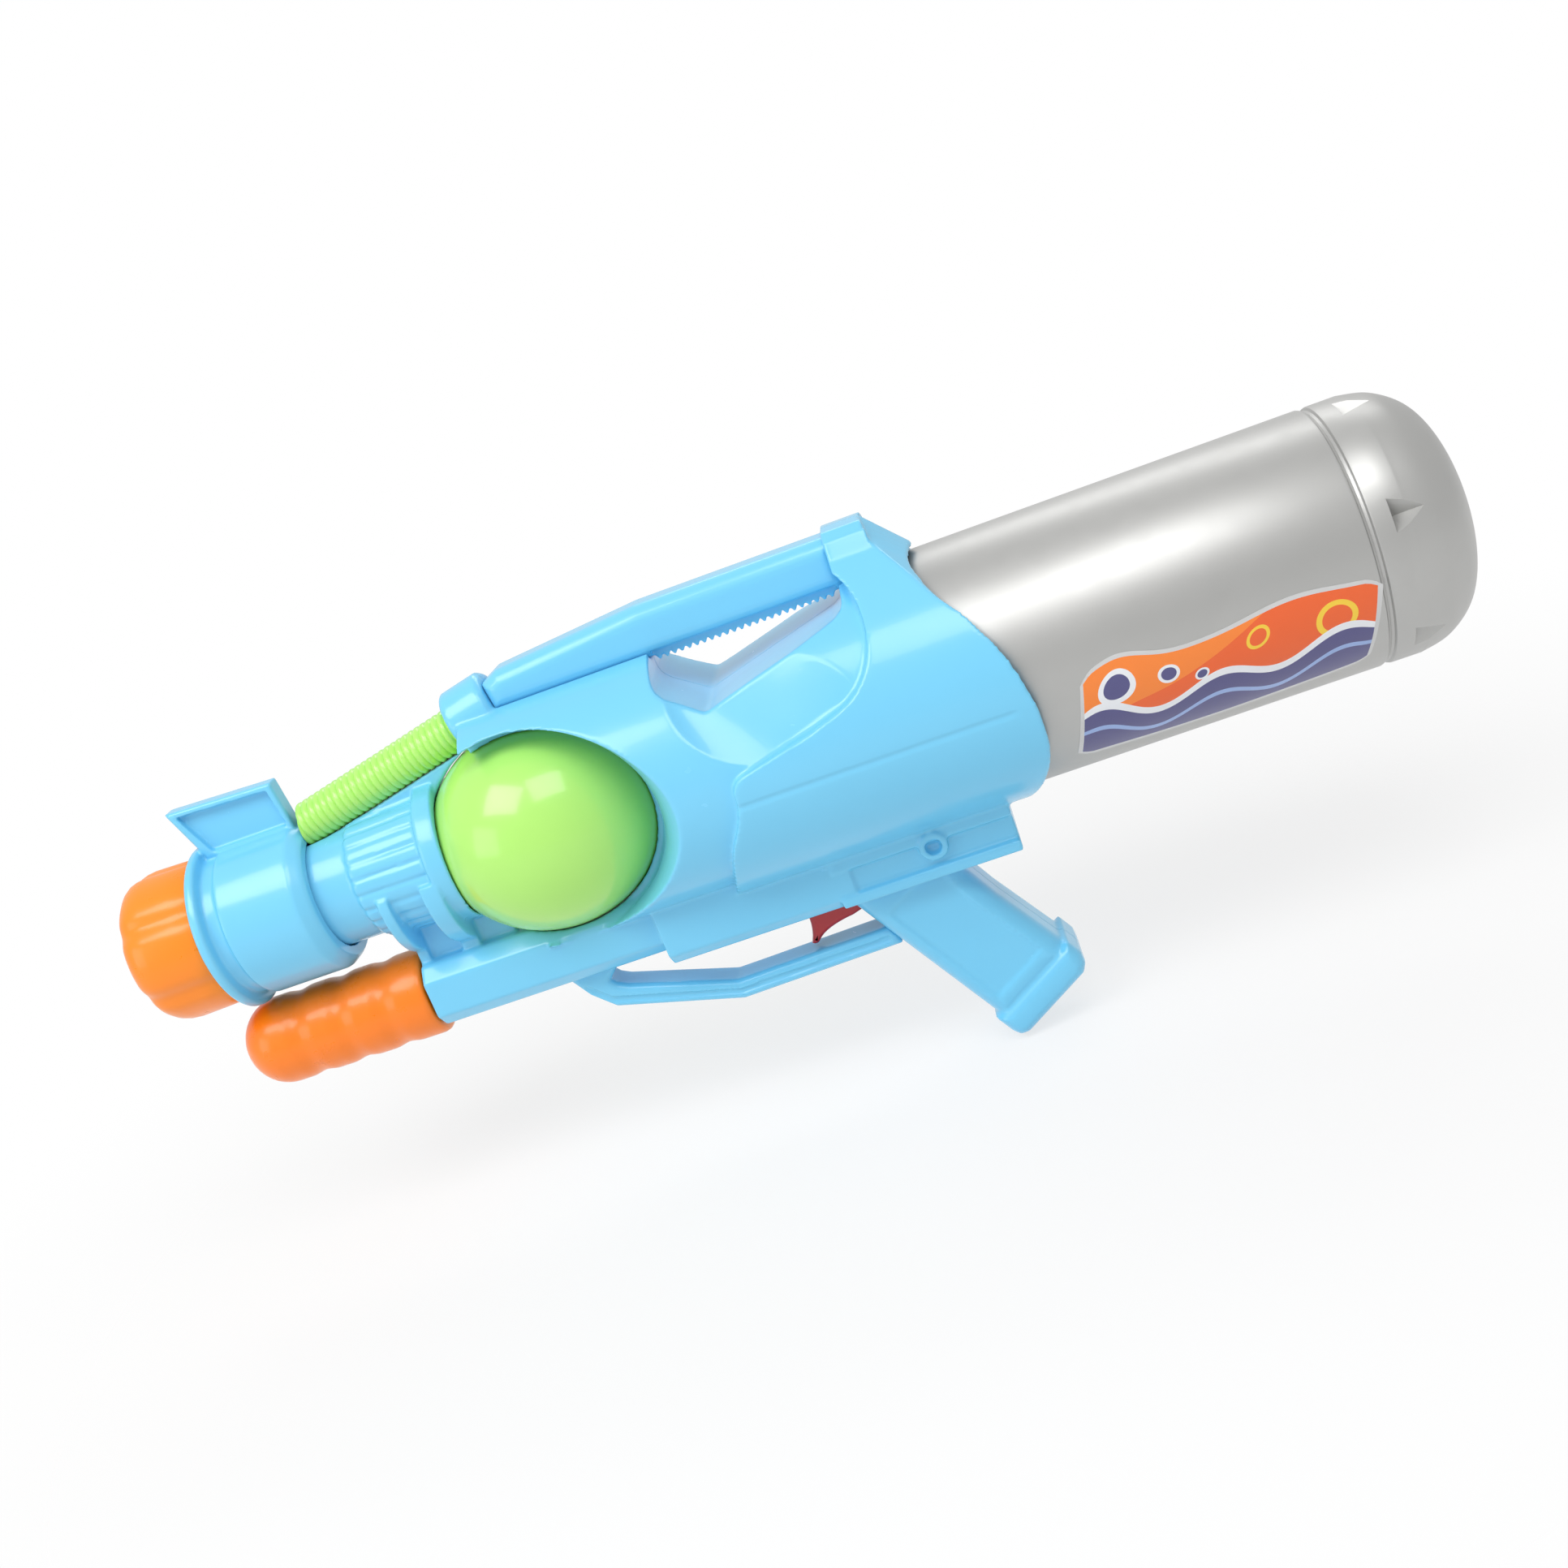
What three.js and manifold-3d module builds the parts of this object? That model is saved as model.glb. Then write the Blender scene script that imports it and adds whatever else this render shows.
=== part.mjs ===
// Pump-up water squirter: a two-piece moulded body that holds a pressure bulb, a hand pump,
// a trigger valve and a screw-on tank. Millimetres, +Z up, the nozzle points along -X.
// Sizes are measured from the barrel axis, which is also the axis of the tank.
import * as THREE from 'three';
import { mergeVertices } from 'three/addons/utils/BufferGeometryUtils.js';
import Module from 'manifold-3d';

const wasm = await Module();
wasm.setup();

// Clearances
const fit = 0.3;
const seam = 0.3;
const wall = 2.5;

// Pressure bulb
const bulbX = -98.5;
const bulbZ = -3;
const bulbLength = 98;
const bulbWidth = 93;
const bulbHeight = 90;
const bulbWall = 2;
const bulbNeck = 12;
const bulbGap = 0.5;

// Barrel, flutes, collar and nozzle, counted forwards from the bulb
const neckRadius = 24.6;
const fluteRear = bulbX - 46.5;
const fluteLength = 34;
const fluteRadius = 28;
const fluteTaper = 1.4;
const fluteDepth = 1;
const fluteCount = 22;
const flangeRadius = 31;
const flangeLength = 8;
const neckShow = 13;
const collarLength = 51;
const collarRadius = 33.5;
const collarFlange = 36.5;
const collarGroove = 31.3;
const collarWall = 3;
const finHeight = 22;
const finWidth = 10;
const finRim = 2.4;
const nozzleLength = 40;
const nozzleRadius = 33;
const nozzleLobes = 6;
const nozzleGroove = 3;
const nozzleWall = 3;
const nozzleHub = 8;

// Soft hoses share one bore, one outside and one barb
const hoseRadius = 4.5;
const hoseBore = 3.5;
const barbRadius = 3;
const barbBore = 1.6;

// Ribbed hose over the barrel
const ribbedRadius = 10;
const ribbedRib = 0.9;
const ribbedBore = 7.5;
const ribCount = 26;
const ribbedSlope = 12.7;
const ribbedLength = 80;
const ribbedFrontZ = 31.5;
const ringRadius = 15;
const ringLength = 20;
const webWidth = 10;

// Body around the bulb and the tank
const midRadius = 53.5;
const houseRadius = 57.5;
const dishFlat = 14;
const dishFlare = 22;
const railWidth = 24;
const railTop = 71.5;
const railFrontTop = 65;
const railFloor = 49.5;
const railFront = -100;
const railTeeth = 24;
const railStep = 0.6;
const toothDepth = 2;
const handleFront = -31;
const handleRear = 50;
const slotFloor = 27.7;
const slotDepth = 74;
const hoodTop = 74;
const hoodWidth = 36;
const hoodCrown = 20;
const hoodShoulder = 63;
const hoodEnd = 94;
const houseRear = 105;

// Pump under the barrel
const pumpZ = -55.5;
const pumpFront = -172;
const pumpTubeWidth = 38;
const pumpTubeHeight = 28;
const pumpStep = -68;
const pumpRear = 7;
const pumpRearWidth = 48;
const pumpRearHeight = 33;
const cylinderDrop = 3.2;
const cylinderRadius = 7.8;
const cylinderBore = 6.3;
const cylinderLength = 128;
const cylinderInset = 8;
const rodRadius = 2.6;
const pistonLength = 12;
const grabLength = 90;
const grabDrop = 1.3;
const grabRadius = 19.3;
const grabWaist = 17.2;
const grabBulges = 4;

// Ledge, grip, guard and trigger
const ledgeFront = 8;
const ledgeRear = 85;
const ledgeBottom = -73;
const ledgeWidth = 50;
const gripWidth = 35;
const gripFrontX = 13;
const gripTopZ = -81;
const gripDepth = 42;
const gripLength = 74;
const gripRake = 58.5;
const buttLength = 15;
const buttProud = 1.6;
const guardWidth = 18;
const guardThick = 9;
const pivotX = -7;
const pivotZ = -64;
const pinRadius = 2;
const triggerWidth = 9;

// Valve behind the trigger
const valveZ = -79;
const valveFront = 24;
const valveLength = 27;
const valveRadius = 7.5;
const valveBore = 5;
const plungerStem = 2.5;
const springWire = 0.7;
const springTurns = 5;

// Tank and its socket
const tankMouth = 22;
const tankLength = 265;
const tankRadius = 53;
const tankWall = 1.6;
const tankNeck = 18;
const tankNeckLength = 22;
const tankGroove = 45;
const domeWall = 4.5;
const notchCount = 6;
const notchTurn = 74;
const socketWall = 4;
const portOffset = 8;

// Body screws go in from the right-hand side
const screwRadius = 1.4;
const screwHead = 3.1;
const screwHeadHeight = 2.2;
const screwLength = 16;
const bossRadius = 4.2;

// Places worked out from the sizes above
const collarRear = fluteRear - fluteLength - neckShow;
const collarFront = collarRear - collarLength;
const nozzleFront = collarFront - nozzleLength;
const tankEnd = tankMouth + tankLength;
const grabRear = pumpFront - 1;
const pumpTop = pumpZ + pumpTubeHeight / 2;
const cylinderZ = pumpZ - cylinderDrop;
const cylinderFront = pumpFront + cylinderInset;
const cylinderRear = cylinderFront + cylinderLength;
const rake = THREE.MathUtils.degToRad(gripRake);
const gripAlong = new THREE.Vector2(Math.cos(rake), -Math.sin(rake));
const gripAcross = new THREE.Vector2(Math.sin(rake), Math.cos(rake));
const span = 400;

// Solids from three.js geometry
function solid(geometry) {
  const bare = geometry.clone();
  bare.deleteAttribute('normal');
  bare.deleteAttribute('uv');
  const merged = mergeVertices(bare, 1e-4);
  const corners = merged.getAttribute('position').array;
  const index = merged.getIndex().array;
  const triangles = [];
  let volume = 0;
  const [a, b, c] = [new THREE.Vector3(), new THREE.Vector3(), new THREE.Vector3()];
  for (let i = 0; i < index.length; i += 3) {
    const [p, q, r] = [index[i], index[i + 1], index[i + 2]];
    if (p === q || q === r || r === p) continue;
    triangles.push(p, q, r);
    a.fromArray(corners, p * 3);
    b.fromArray(corners, q * 3);
    c.fromArray(corners, r * 3);
    volume += a.dot(b.cross(c));
  }
  if (volume < 0) triangles.reverse();
  return new wasm.Manifold(new wasm.Mesh({
    numProp: 3,
    vertProperties: Float32Array.from(corners),
    triVerts: Uint32Array.from(triangles),
  }));
}

function geometryOf(shape) {
  const mesh = shape.getMesh();
  const geometry = new THREE.BufferGeometry();
  const positions = new Float32Array(mesh.numVert * 3);
  for (let i = 0; i < mesh.numVert; i++) {
    for (let k = 0; k < 3; k++) positions[i * 3 + k] = mesh.vertProperties[i * mesh.numProp + k];
  }
  geometry.setAttribute('position', new THREE.BufferAttribute(positions, 3));
  geometry.setIndex(new THREE.BufferAttribute(Uint32Array.from(mesh.triVerts), 1));
  geometry.computeVertexNormals();
  return geometry;
}

function union(...shapes) {
  return shapes.reduce((whole, shape) => whole.add(shape));
}

function outline(points) {
  return new THREE.Shape(points.map(([u, v]) => new THREE.Vector2(u, v)));
}

// A profile of [x, radius] points turned round an axis that runs along X
function turned(profile, segments, y = 0, z = 0) {
  const points = profile.map(([x, r]) => new THREE.Vector2(r, x));
  const lathe = new THREE.LatheGeometry(points, segments);
  lathe.rotateZ(-Math.PI / 2);
  lathe.rotateX(Math.PI / segments);
  lathe.translate(0, y, z);
  return solid(lathe);
}

function rod(x0, x1, radius, segments, y = 0, z = 0) {
  return turned([[x0, 0], [x0, radius], [x1, radius], [x1, 0]], segments, y, z);
}

// A round rod along Y
function crossRod(x, z, y0, y1, radius, segments) {
  const geometry = new THREE.CylinderGeometry(radius, radius, y1 - y0, segments);
  geometry.translate(x, (y0 + y1) / 2, z);
  return solid(geometry);
}

// A round rod along Z
function upright(x, y, z0, z1, radius, segments) {
  const geometry = new THREE.CylinderGeometry(radius, radius, z1 - z0, segments);
  geometry.rotateX(Math.PI / 2);
  geometry.translate(x, y, (z0 + z1) / 2);
  return solid(geometry);
}

function box(x0, x1, y0, y1, z0, z1) {
  const geometry = new THREE.BoxGeometry(x1 - x0, y1 - y0, z1 - z0);
  geometry.translate((x0 + x1) / 2, (y0 + y1) / 2, (z0 + z1) / 2);
  return solid(geometry);
}

// A side-view outline in [x, z], as thick as width, with its long edges rounded by round
function plate(points, width, round = 0, steps = 2) {
  const shape = points instanceof THREE.Shape ? points : outline(points);
  const geometry = new THREE.ExtrudeGeometry(shape, {
    depth: width - 2 * round,
    bevelEnabled: round > 0,
    bevelThickness: round,
    bevelSize: round,
    bevelOffset: -round,
    bevelSegments: steps,
    curveSegments: 6,
  });
  geometry.rotateX(Math.PI / 2);
  geometry.translate(0, width / 2 - round, 0);
  return solid(geometry);
}

// A cross-section in [y, z] drawn out along X
function beam(points, x0, x1) {
  const shape = points instanceof THREE.Shape ? points : outline(points);
  const geometry = new THREE.ExtrudeGeometry(shape, { depth: x1 - x0, bevelEnabled: false, curveSegments: 12 });
  const turn = new THREE.Matrix4().makeBasis(
    new THREE.Vector3(0, 1, 0), new THREE.Vector3(0, 0, 1), new THREE.Vector3(1, 0, 0));
  geometry.applyMatrix4(turn);
  geometry.translate(x0, 0, 0);
  return solid(geometry);
}

// Rings of points, all of one count, skinned in order and closed by fans at both ends
function loft(rings) {
  const count = rings[0].length;
  const points = rings.flat();
  const index = [];
  for (let i = 0; i + 1 < rings.length; i++) {
    for (let j = 0; j < count; j++) {
      const [a, b] = [i * count + j, i * count + (j + 1) % count];
      index.push(a, b, b + count, a, b + count, a + count);
    }
  }
  const last = (rings.length - 1) * count;
  for (const [start, turn] of [[0, true], [last, false]]) {
    const centre = new THREE.Vector3();
    for (let j = 0; j < count; j++) centre.add(points[start + j]);
    points.push(centre.divideScalar(count));
    for (let j = 0; j < count; j++) {
      const [a, b] = [start + j, start + (j + 1) % count];
      index.push(points.length - 1, turn ? b : a, turn ? a : b);
    }
  }
  const geometry = new THREE.BufferGeometry().setFromPoints(points);
  geometry.setIndex(index);
  return solid(geometry);
}

// A soft tube through points chosen by hand
function hose(points, outside, inside, steps) {
  const path = new THREE.CatmullRomCurve3(points.map((p) => new THREE.Vector3(...p)), false, 'centripetal');
  const ring = new THREE.Shape().absarc(0, 0, outside, 0, Math.PI * 2);
  ring.holes.push(new THREE.Path().absarc(0, 0, inside, 0, Math.PI * 2, true));
  return solid(new THREE.ExtrudeGeometry(ring, { steps, extrudePath: path, curveSegments: 4 }));
}

// The bulb: an egg of revolution, drawn out to its width and height
function egg(grow, segments = 24) {
  const geometry = new THREE.SphereGeometry(1, segments, Math.round(segments * 0.6));
  geometry.rotateZ(Math.PI / 2);
  geometry.scale(bulbLength / 2 + grow, bulbWidth / 2 + grow, bulbHeight / 2 + grow);
  geometry.translate(bulbX, 0, bulbZ);
  return solid(geometry);
}

const bulbNeckRadius = hoseRadius + fit + bulbWall;
const bulbNeckEnd = bulbLength / 2 - 2 + bulbNeck;

function bulbNecks(grow) {
  const reach = bulbNeckEnd + grow;
  return rod(bulbX - reach, bulbX + reach, bulbNeckRadius + grow, 12, 0, bulbZ);
}

function pressureBulb() {
  const skin = union(egg(0), bulbNecks(0));
  const inside = union(egg(-bulbWall, 12), rod(bulbX - span, bulbX + span, hoseRadius + fit, 12, 0, bulbZ));
  return skin.subtract(inside);
}

// Trumpet-shaped recess round the bulb on both sides of the body
function bulbDish(grow) {
  const flatness = bulbHeight / bulbLength;
  const rim = bulbLength / 2 + 2 + grow;
  const sides = [-1, 1].map((side) => {
    const profile = [[0, dishFlat - grow]];
    const steps = 5;
    for (let i = 0; i <= steps; i++) {
      const angle = (i / steps) * Math.PI / 2;
      const out = dishFlare * (1 - Math.cos(angle));
      profile.push([rim + out, dishFlat - grow + (midRadius - dishFlat + 6) * Math.sin(angle)]);
    }
    profile.push([0, profile.at(-1)[1]]);
    const lathe = new THREE.LatheGeometry(profile.map(([r, y]) => new THREE.Vector2(r, y * side)), 26);
    lathe.scale(1, 1, flatness);
    lathe.translate(bulbX, 0, bulbZ);
    return solid(lathe);
  });
  return union(...sides);
}

// Housing cross-section: the round of the tank drawn up into a narrow hood
function hoodSection(inset) {
  const radius = houseRadius - inset;
  const [shoulderY, shoulderZ] = [hoodWidth / 2 - inset, hoodShoulder];
  const reach = Math.hypot(shoulderY, shoulderZ);
  const tangent = Math.atan2(shoulderZ, shoulderY) - Math.acos(Math.min(1, radius / reach));
  const shape = new THREE.Shape();
  shape.absarc(0, 0, radius, Math.PI - tangent, Math.PI * 2 + tangent);
  shape.lineTo(shoulderY, shoulderZ);
  shape.lineTo(hoodCrown / 2, hoodTop - inset);
  shape.lineTo(-hoodCrown / 2, hoodTop - inset);
  shape.lineTo(-shoulderY, shoulderZ);
  return shape;
}

// Side view of the housing: a front edge that follows the scoop, and a swept-back rear edge
function houseSide() {
  const [hoodFront, scoopFloor, lipX, lipZ] = [handleRear, 10, -12, 2];
  const shape = new THREE.Shape();
  shape.moveTo(hoodFront, hoodTop + 5);
  shape.lineTo(hoodFront, 59);
  shape.bezierCurveTo(hoodFront + 12, 46, hoodFront + 6, 22, hoodFront - 12, scoopFloor + 5);
  shape.lineTo(24, scoopFloor);
  shape.lineTo(lipX + 6, lipZ + 1.5);
  shape.quadraticCurveTo(lipX, lipZ, lipX, lipZ - 6);
  shape.bezierCurveTo(-13, -16, -20, -20, -24, -32);
  shape.quadraticCurveTo(-28, -44, -36, ledgeBottom + 8);
  shape.lineTo(ledgeRear - 2, ledgeBottom + 8);
  shape.quadraticCurveTo(houseRear, -44, houseRear, -22);
  shape.quadraticCurveTo(houseRear, 22, hoodEnd, 57);
  shape.lineTo(hoodEnd - 25, hoodTop + 1);
  shape.lineTo(hoodEnd - 25, hoodTop + 5);
  return shape;
}

// Carry-handle opening: a straight slot through the middle with a shallow vee for a floor, which opens into a
// scoop on each side
function handleOpening(grow) {
  const top = railFloor + 20 + grow;
  const slot = [
    [handleFront - grow, top], [handleFront - grow, 43 - grow], [handleFront + 4 - grow, 38 - grow], [-13, slotFloor - grow],
    [14, 35 - grow], [handleRear - 4 + grow, 44 - grow], [handleRear + grow, railFloor - 2], [handleRear + grow, top],
  ];
  const scoop = [
    [handleFront - 5 - grow, top], [handleFront - 5 - grow, 44], [handleFront - grow, 27 - grow], [-14, 5 - grow],
    [24, 9 - grow], [handleRear - 1 + grow, 20 - grow], [handleRear + 7 + grow, 42], [handleRear + 4 + grow, top],
  ];
  const [inner, outer] = [slotDepth / 2 - grow, midRadius - 1.5];
  const ring = (y, share) => slot.map(([x, z], i) => new THREE.Vector3(
    x + (scoop[i][0] - x) * share, y, z + (scoop[i][1] - z) * share));
  const past = (houseRadius + 2 - inner) / (outer - inner);
  return loft([ring(-houseRadius - 2, past), ring(-inner, 0), ring(inner, 0), ring(houseRadius + 2, past)]);
}

// Top rail with fine teeth along its underside over the opening
function rail(inset) {
  const floor = railFloor + inset;
  const points = [[railFront + inset, floor], [railFront + inset, railFrontTop - inset]];
  points.push([-30, railTop - inset], [handleRear + 4, railTop - inset], [handleRear + 4, floor]);
  return plate(points, railWidth - 2 * inset, inset > 0 ? 0 : 5, 1);
}

function railComb() {
  const pitch = (handleRear - handleFront - 4) / railTeeth;
  const points = [[handleFront + fit, railFloor + 1], [handleRear - fit, railFloor + 1]];
  for (let i = railTeeth; i > 0; i--) {
    const x = handleFront + 2 + pitch * (i - 1);
    points.push([x + pitch, railFloor], [x + pitch / 2, railFloor - toothDepth]);
  }
  points.push([handleFront + 2, railFloor]);
  return plate(points, railWidth - 12);
}

// The rail is one moulding, hollow from below, that sits on the body between the socket ring and the hood.
// Its tail is stepped down where it goes in under the hood.
function carryRail() {
  const tail = box(handleRear - fit, handleRear + 5, -railWidth, railWidth, railTop - railStep, railTop + 1);
  const hollow = union(
    rail(wall + 1), box(railFront + 8, handleFront - 8, -railWidth / 3, railWidth / 3, railFloor - 1, railFloor + 6));
  return rail(0).add(railComb()).subtract(union(hollow, tail, socketRing(fit)));
}

// Fluted barrel section, a little narrower towards the nozzle
function flutes() {
  const perFlute = 3;
  const count = fluteCount * perFlute;
  const ring = (x, radius) => Array.from({ length: count }, (_, j) => {
    const angle = (j / count) * Math.PI * 2;
    const r = radius - (j % perFlute === 0 ? fluteDepth : 0);
    return new THREE.Vector3(x, r * Math.cos(angle), r * Math.sin(angle));
  });
  const front = fluteRear - fluteLength;
  return loft([ring(front, fluteRadius - fluteTaper), ring(fluteRear + 1, fluteRadius)]);
}

// The ribbed hose lies along a line that climbs from the collar to the socket ring
const ribbedStart = new THREE.Vector3(collarRear + fit, 0, ribbedFrontZ);
const climb = THREE.MathUtils.degToRad(ribbedSlope);

function alongHose(shape) {
  return shape.rotate([0, -ribbedSlope, 0]).translate([ribbedStart.x, ribbedStart.y, ribbedStart.z]);
}

function ribbedHose() {
  const sides = 8;
  const pitch = ribbedLength / ribCount;
  const profile = [[0, ribbedBore], [0, ribbedRadius - ribbedRib]];
  for (let i = 0; i < ribCount; i++) {
    profile.push([pitch * (i + 0.3), ribbedRadius], [pitch * (i + 0.8), ribbedRadius - ribbedRib]);
  }
  profile.push([ribbedLength, ribbedRadius - ribbedRib]);
  for (let i = ribCount; i >= 0; i -= 5) profile.push([pitch * i, ribbedBore]);
  profile.push([0, ribbedBore]);
  return alongHose(turned(profile, sides));
}

function socketRing(grow) {
  const start = ribbedLength - 4 - grow;
  return alongHose(rod(start, start + ringLength + 2 * grow, ringRadius + grow, 18));
}

// Grip outline in side view: front edge, butt and rear edge
function gripPoint(along, across) {
  return [
    gripFrontX + gripAlong.x * along + gripAcross.x * across,
    gripTopZ + gripAlong.y * along + gripAcross.y * across,
  ];
}

function grip(inset) {
  const points = [
    gripPoint(-12, inset),
    gripPoint(gripLength + 5 - inset, inset),
    gripPoint(gripLength + 5 - inset, gripDepth - inset),
    gripPoint(gripLength * 0.3, gripDepth - 1 - inset),
    gripPoint(-22, gripDepth + 12 - inset),
  ];
  return plate(points, gripWidth - 2 * inset, inset ? 2 : 6);
}

function butt() {
  const points = [
    gripPoint(gripLength, -buttProud),
    gripPoint(gripLength + buttLength - 4, -buttProud),
    gripPoint(gripLength + buttLength, 3),
    gripPoint(gripLength + buttLength, gripDepth - 4),
    gripPoint(gripLength + buttLength - 7, gripDepth + buttProud),
    gripPoint(gripLength, gripDepth + buttProud),
  ];
  return plate(points, gripWidth + 2 * buttProud, 5);
}

// Hand guard from the pump tube back to the grip
function guard() {
  const low = guardThick;
  const points = [
    [-120, ledgeBottom + 8], [-117, -69], [-103, -79 - low], [-48, -94.5 - low],
    [24, -93 - low], [24, -93], [-48, -94.5], [-97, -79], [-88, ledgeBottom + 8],
  ];
  return plate(points, guardWidth, 3, 1);
}

function handGuard() {
  return guard().subtract(union(pumpHousing(-fit), grip(-fit)));
}

// Pump tube: a box section with chamfered corners
function pumpSection(width, height, z, chamfer) {
  const [w, h] = [width / 2, height / 2];
  return [
    [-w, z - h + chamfer], [-w + chamfer, z - h], [w - chamfer, z - h], [w, z - h + chamfer],
    [w, z + h - chamfer], [w - chamfer, z + h], [-w + chamfer, z + h], [-w, z + h - chamfer],
  ];
}

function pumpHousing(inset) {
  const thin = pumpSection(pumpTubeWidth - 2 * inset, pumpTubeHeight - 2 * inset, pumpZ, 6);
  const thick = pumpSection(pumpRearWidth - 2 * inset, pumpRearHeight - 2 * inset, pumpZ - 2, 5);
  const front = inset ? pumpFront - 1 : pumpFront;
  return union(beam(thin, front, pumpStep + 2 * inset + 1), beam(thick, pumpStep + inset, pumpRear + 8));
}

function ledge(inset) {
  const [w, rise] = [ledgeWidth / 2, 7];
  const shape = [
    [-w + 2 + inset, ledgeBottom + inset], [w - 2 - inset, ledgeBottom + inset],
    [w - 2 - inset, ledgeBottom + rise], [w - inset, ledgeBottom + rise],
    [w - inset, -houseRadius * 0.75], [-w + inset, -houseRadius * 0.75],
    [-w + inset, ledgeBottom + rise], [-w + 2 + inset, ledgeBottom + rise],
  ];
  return beam(shape, ledgeFront + inset, ledgeRear - inset);
}

// A ring boss stands out a little on each side of the ledge
function ledgeRings() {
  const [x, z, reach] = [51, ledgeBottom + 14, ledgeWidth / 2 + 1.4];
  const ring = crossRod(x, z, -reach, reach, 6, 20).subtract(crossRod(x, z, -span, span, 3.5, 12));
  return ring.subtract(box(-span, span, 4 - ledgeWidth / 2, ledgeWidth / 2 - 4, -span, span));
}

// Two crescents that carry the fluted section on the pump tube
function crescents() {
  const first = rod(pumpFront, pumpFront + 5, fluteRadius + 6, 24);
  const second = rod(fluteRear - 7, fluteRear + 1, fluteRadius + 9, 24);
  const lower = box(-span, 0, -span, span, pumpTop - 2, -8);
  const feet = union(
    box(pumpFront, pumpFront + 5, -16, 16, pumpTop - 2, 1 - fluteRadius),
    box(fluteRear - 7, fluteRear + 1, -19, 19, pumpTop - 2, 1 - fluteRadius));
  return union(first, second).intersect(lower).add(feet);
}

// Web under the ribbed hose
function hoseWeb() {
  const base = neckRadius - 4;
  const endX = ribbedStart.x + ribbedLength;
  const endZ = ribbedStart.z + ribbedLength * Math.tan(climb);
  const front = collarRear + fit;
  return plate([[front, base], [endX + 8, base], [endX + 8, endZ], [front, ribbedStart.z]], webWidth);
}

// Screw places in side view, with how far the head sits out from the middle
const screwPlaces = [
  [-66, 43.8, 18], [-42, 20, 30], [62, 62, 6], [-24, -37, 30], [76, -65.5, 16],
  [44, -112, 10], [68, -141, 10], [-160, pumpTop - 4.6, 12],
];

// Body: outside, hollow and the fittings inside, then cut in two at the middle
function bodyHalves() {
  const drum = (radius, x0, x1) => rod(x0, x1, radius, 40);
  const side = plate(houseSide(), 2 * span);
  const round = drum(houseRadius, -40, houseRear + 5);
  const hood = beam(hoodSection(0), handleRear, houseRear + 5);
  const housing = round.add(hood).intersect(side);
  const middle = drum(midRadius, railFront - 14, handleRear + 12);
  const flange = rod(fluteRear - 1, fluteRear + flangeLength, flangeRadius, 28);
  const neck = rod(collarFront + 8, bulbX, neckRadius, 26);
  const upper = housing.add(middle).subtract(union(handleOpening(0), bulbDish(0), rail(-fit)));
  const outside = union(
    upper, socketRing(0), flange, neck, flutes(), hoseWeb(), crescents(),
    pumpHousing(0), ledge(0), ledgeRings(), grip(0), butt());

  const frontRoom = drum(midRadius - wall, bulbX, handleRear).subtract(box(-span, bulbX + 30, -span, span, -span, span));
  const rearRoom = beam(hoodSection(wall), handleRear + wall, span).add(drum(houseRadius - wall, -6, span));
  const rooms = union(frontRoom, rearRoom).subtract(handleOpening(wall));
  const barrelBore = rod(-span, bulbX, neckRadius - wall, 20);
  const hollow = union(rooms, pumpHousing(wall), ledge(wall), grip(wall)).subtract(
    union(egg(bulbGap + wall), bulbDish(wall), rail(-fit - wall)));
  const fittings = union(bulkhead(), pivotBosses(), valveSaddles(), cylinderSaddles());
  const bosses = union(...screwPlaces.map(([x, z]) => crossRod(x, z, -span, span, bossRadius, 6))).intersect(outside);
  const shell = outside.subtract(hollow.subtract(bosses).subtract(fittings.intersect(outside)));
  const cuts = union(
    barrelBore, egg(bulbGap), bulbNecks(fit), alongHose(rod(-20, ribbedLength + fit, ribbedRadius + fit, 16)),
    triggerSlot(), cylinderBed());
  const open = shell.subtract(cuts);
  const left = open.intersect(box(-span, span, -span, -seam / 2, -span, span));
  const right = open.intersect(box(-span, span, seam / 2, span, -span, span));
  return [left.subtract(screwHoles()), right.subtract(screwHoles())];
}

function bulkhead() {
  const front = tankMouth - socketWall + fit;
  const plateSolid = box(front, front + wall, -midRadius, midRadius, -34, 34);
  return plateSolid.subtract(rod(front - 1, front + wall + 1, tankNeck + 4 + fit, 28));
}

function pivotBosses() {
  const reach = pumpRearWidth / 2;
  const near = triggerWidth / 2 + fit;
  return union(
    crossRod(pivotX, pivotZ, -reach, -near, pinRadius + 3, 12),
    crossRod(pivotX, pivotZ, near, reach, pinRadius + 3, 12),
  ).subtract(crossRod(pivotX, pivotZ, -near - 9, near + 9, pinRadius + fit, 12));
}

function valveSaddles() {
  const half = gripWidth / 2;
  const plates = [valveFront + 3, valveFront + valveLength - 6].map((x) =>
    box(x, x + wall, -half, half, valveZ - 14, valveZ - 1));
  const bed = rod(valveFront - 5, valveFront + valveLength + 5, valveRadius + fit, 20, 0, valveZ);
  return union(...plates).subtract(bed);
}

function cylinderSaddles() {
  const half = pumpTubeWidth / 2;
  const places = [cylinderFront + 14, cylinderRear - 14];
  const plates = places.map((x) => box(x, x + wall, -half, half, pumpZ - pumpTubeHeight / 2, pumpTop));
  return union(...plates);
}

function cylinderBed() {
  return rod(cylinderFront - 6, cylinderRear + fit, cylinderRadius + fit, 20, 0, cylinderZ);
}

function triggerSlot() {
  const half = triggerWidth / 2 + fit;
  return box(pivotX - 9, gripFrontX + 10, -half, half, -90, pivotZ - 5);
}

function screwHoles() {
  return union(...screwPlaces.map(([x, z, seat]) => union(
    crossRod(x, z, seat - screwLength - 2, seat + 1, screwRadius + fit, 6),
    crossRod(x, z, seat, span, screwHead + 2 * fit, 6))));
}

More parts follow.
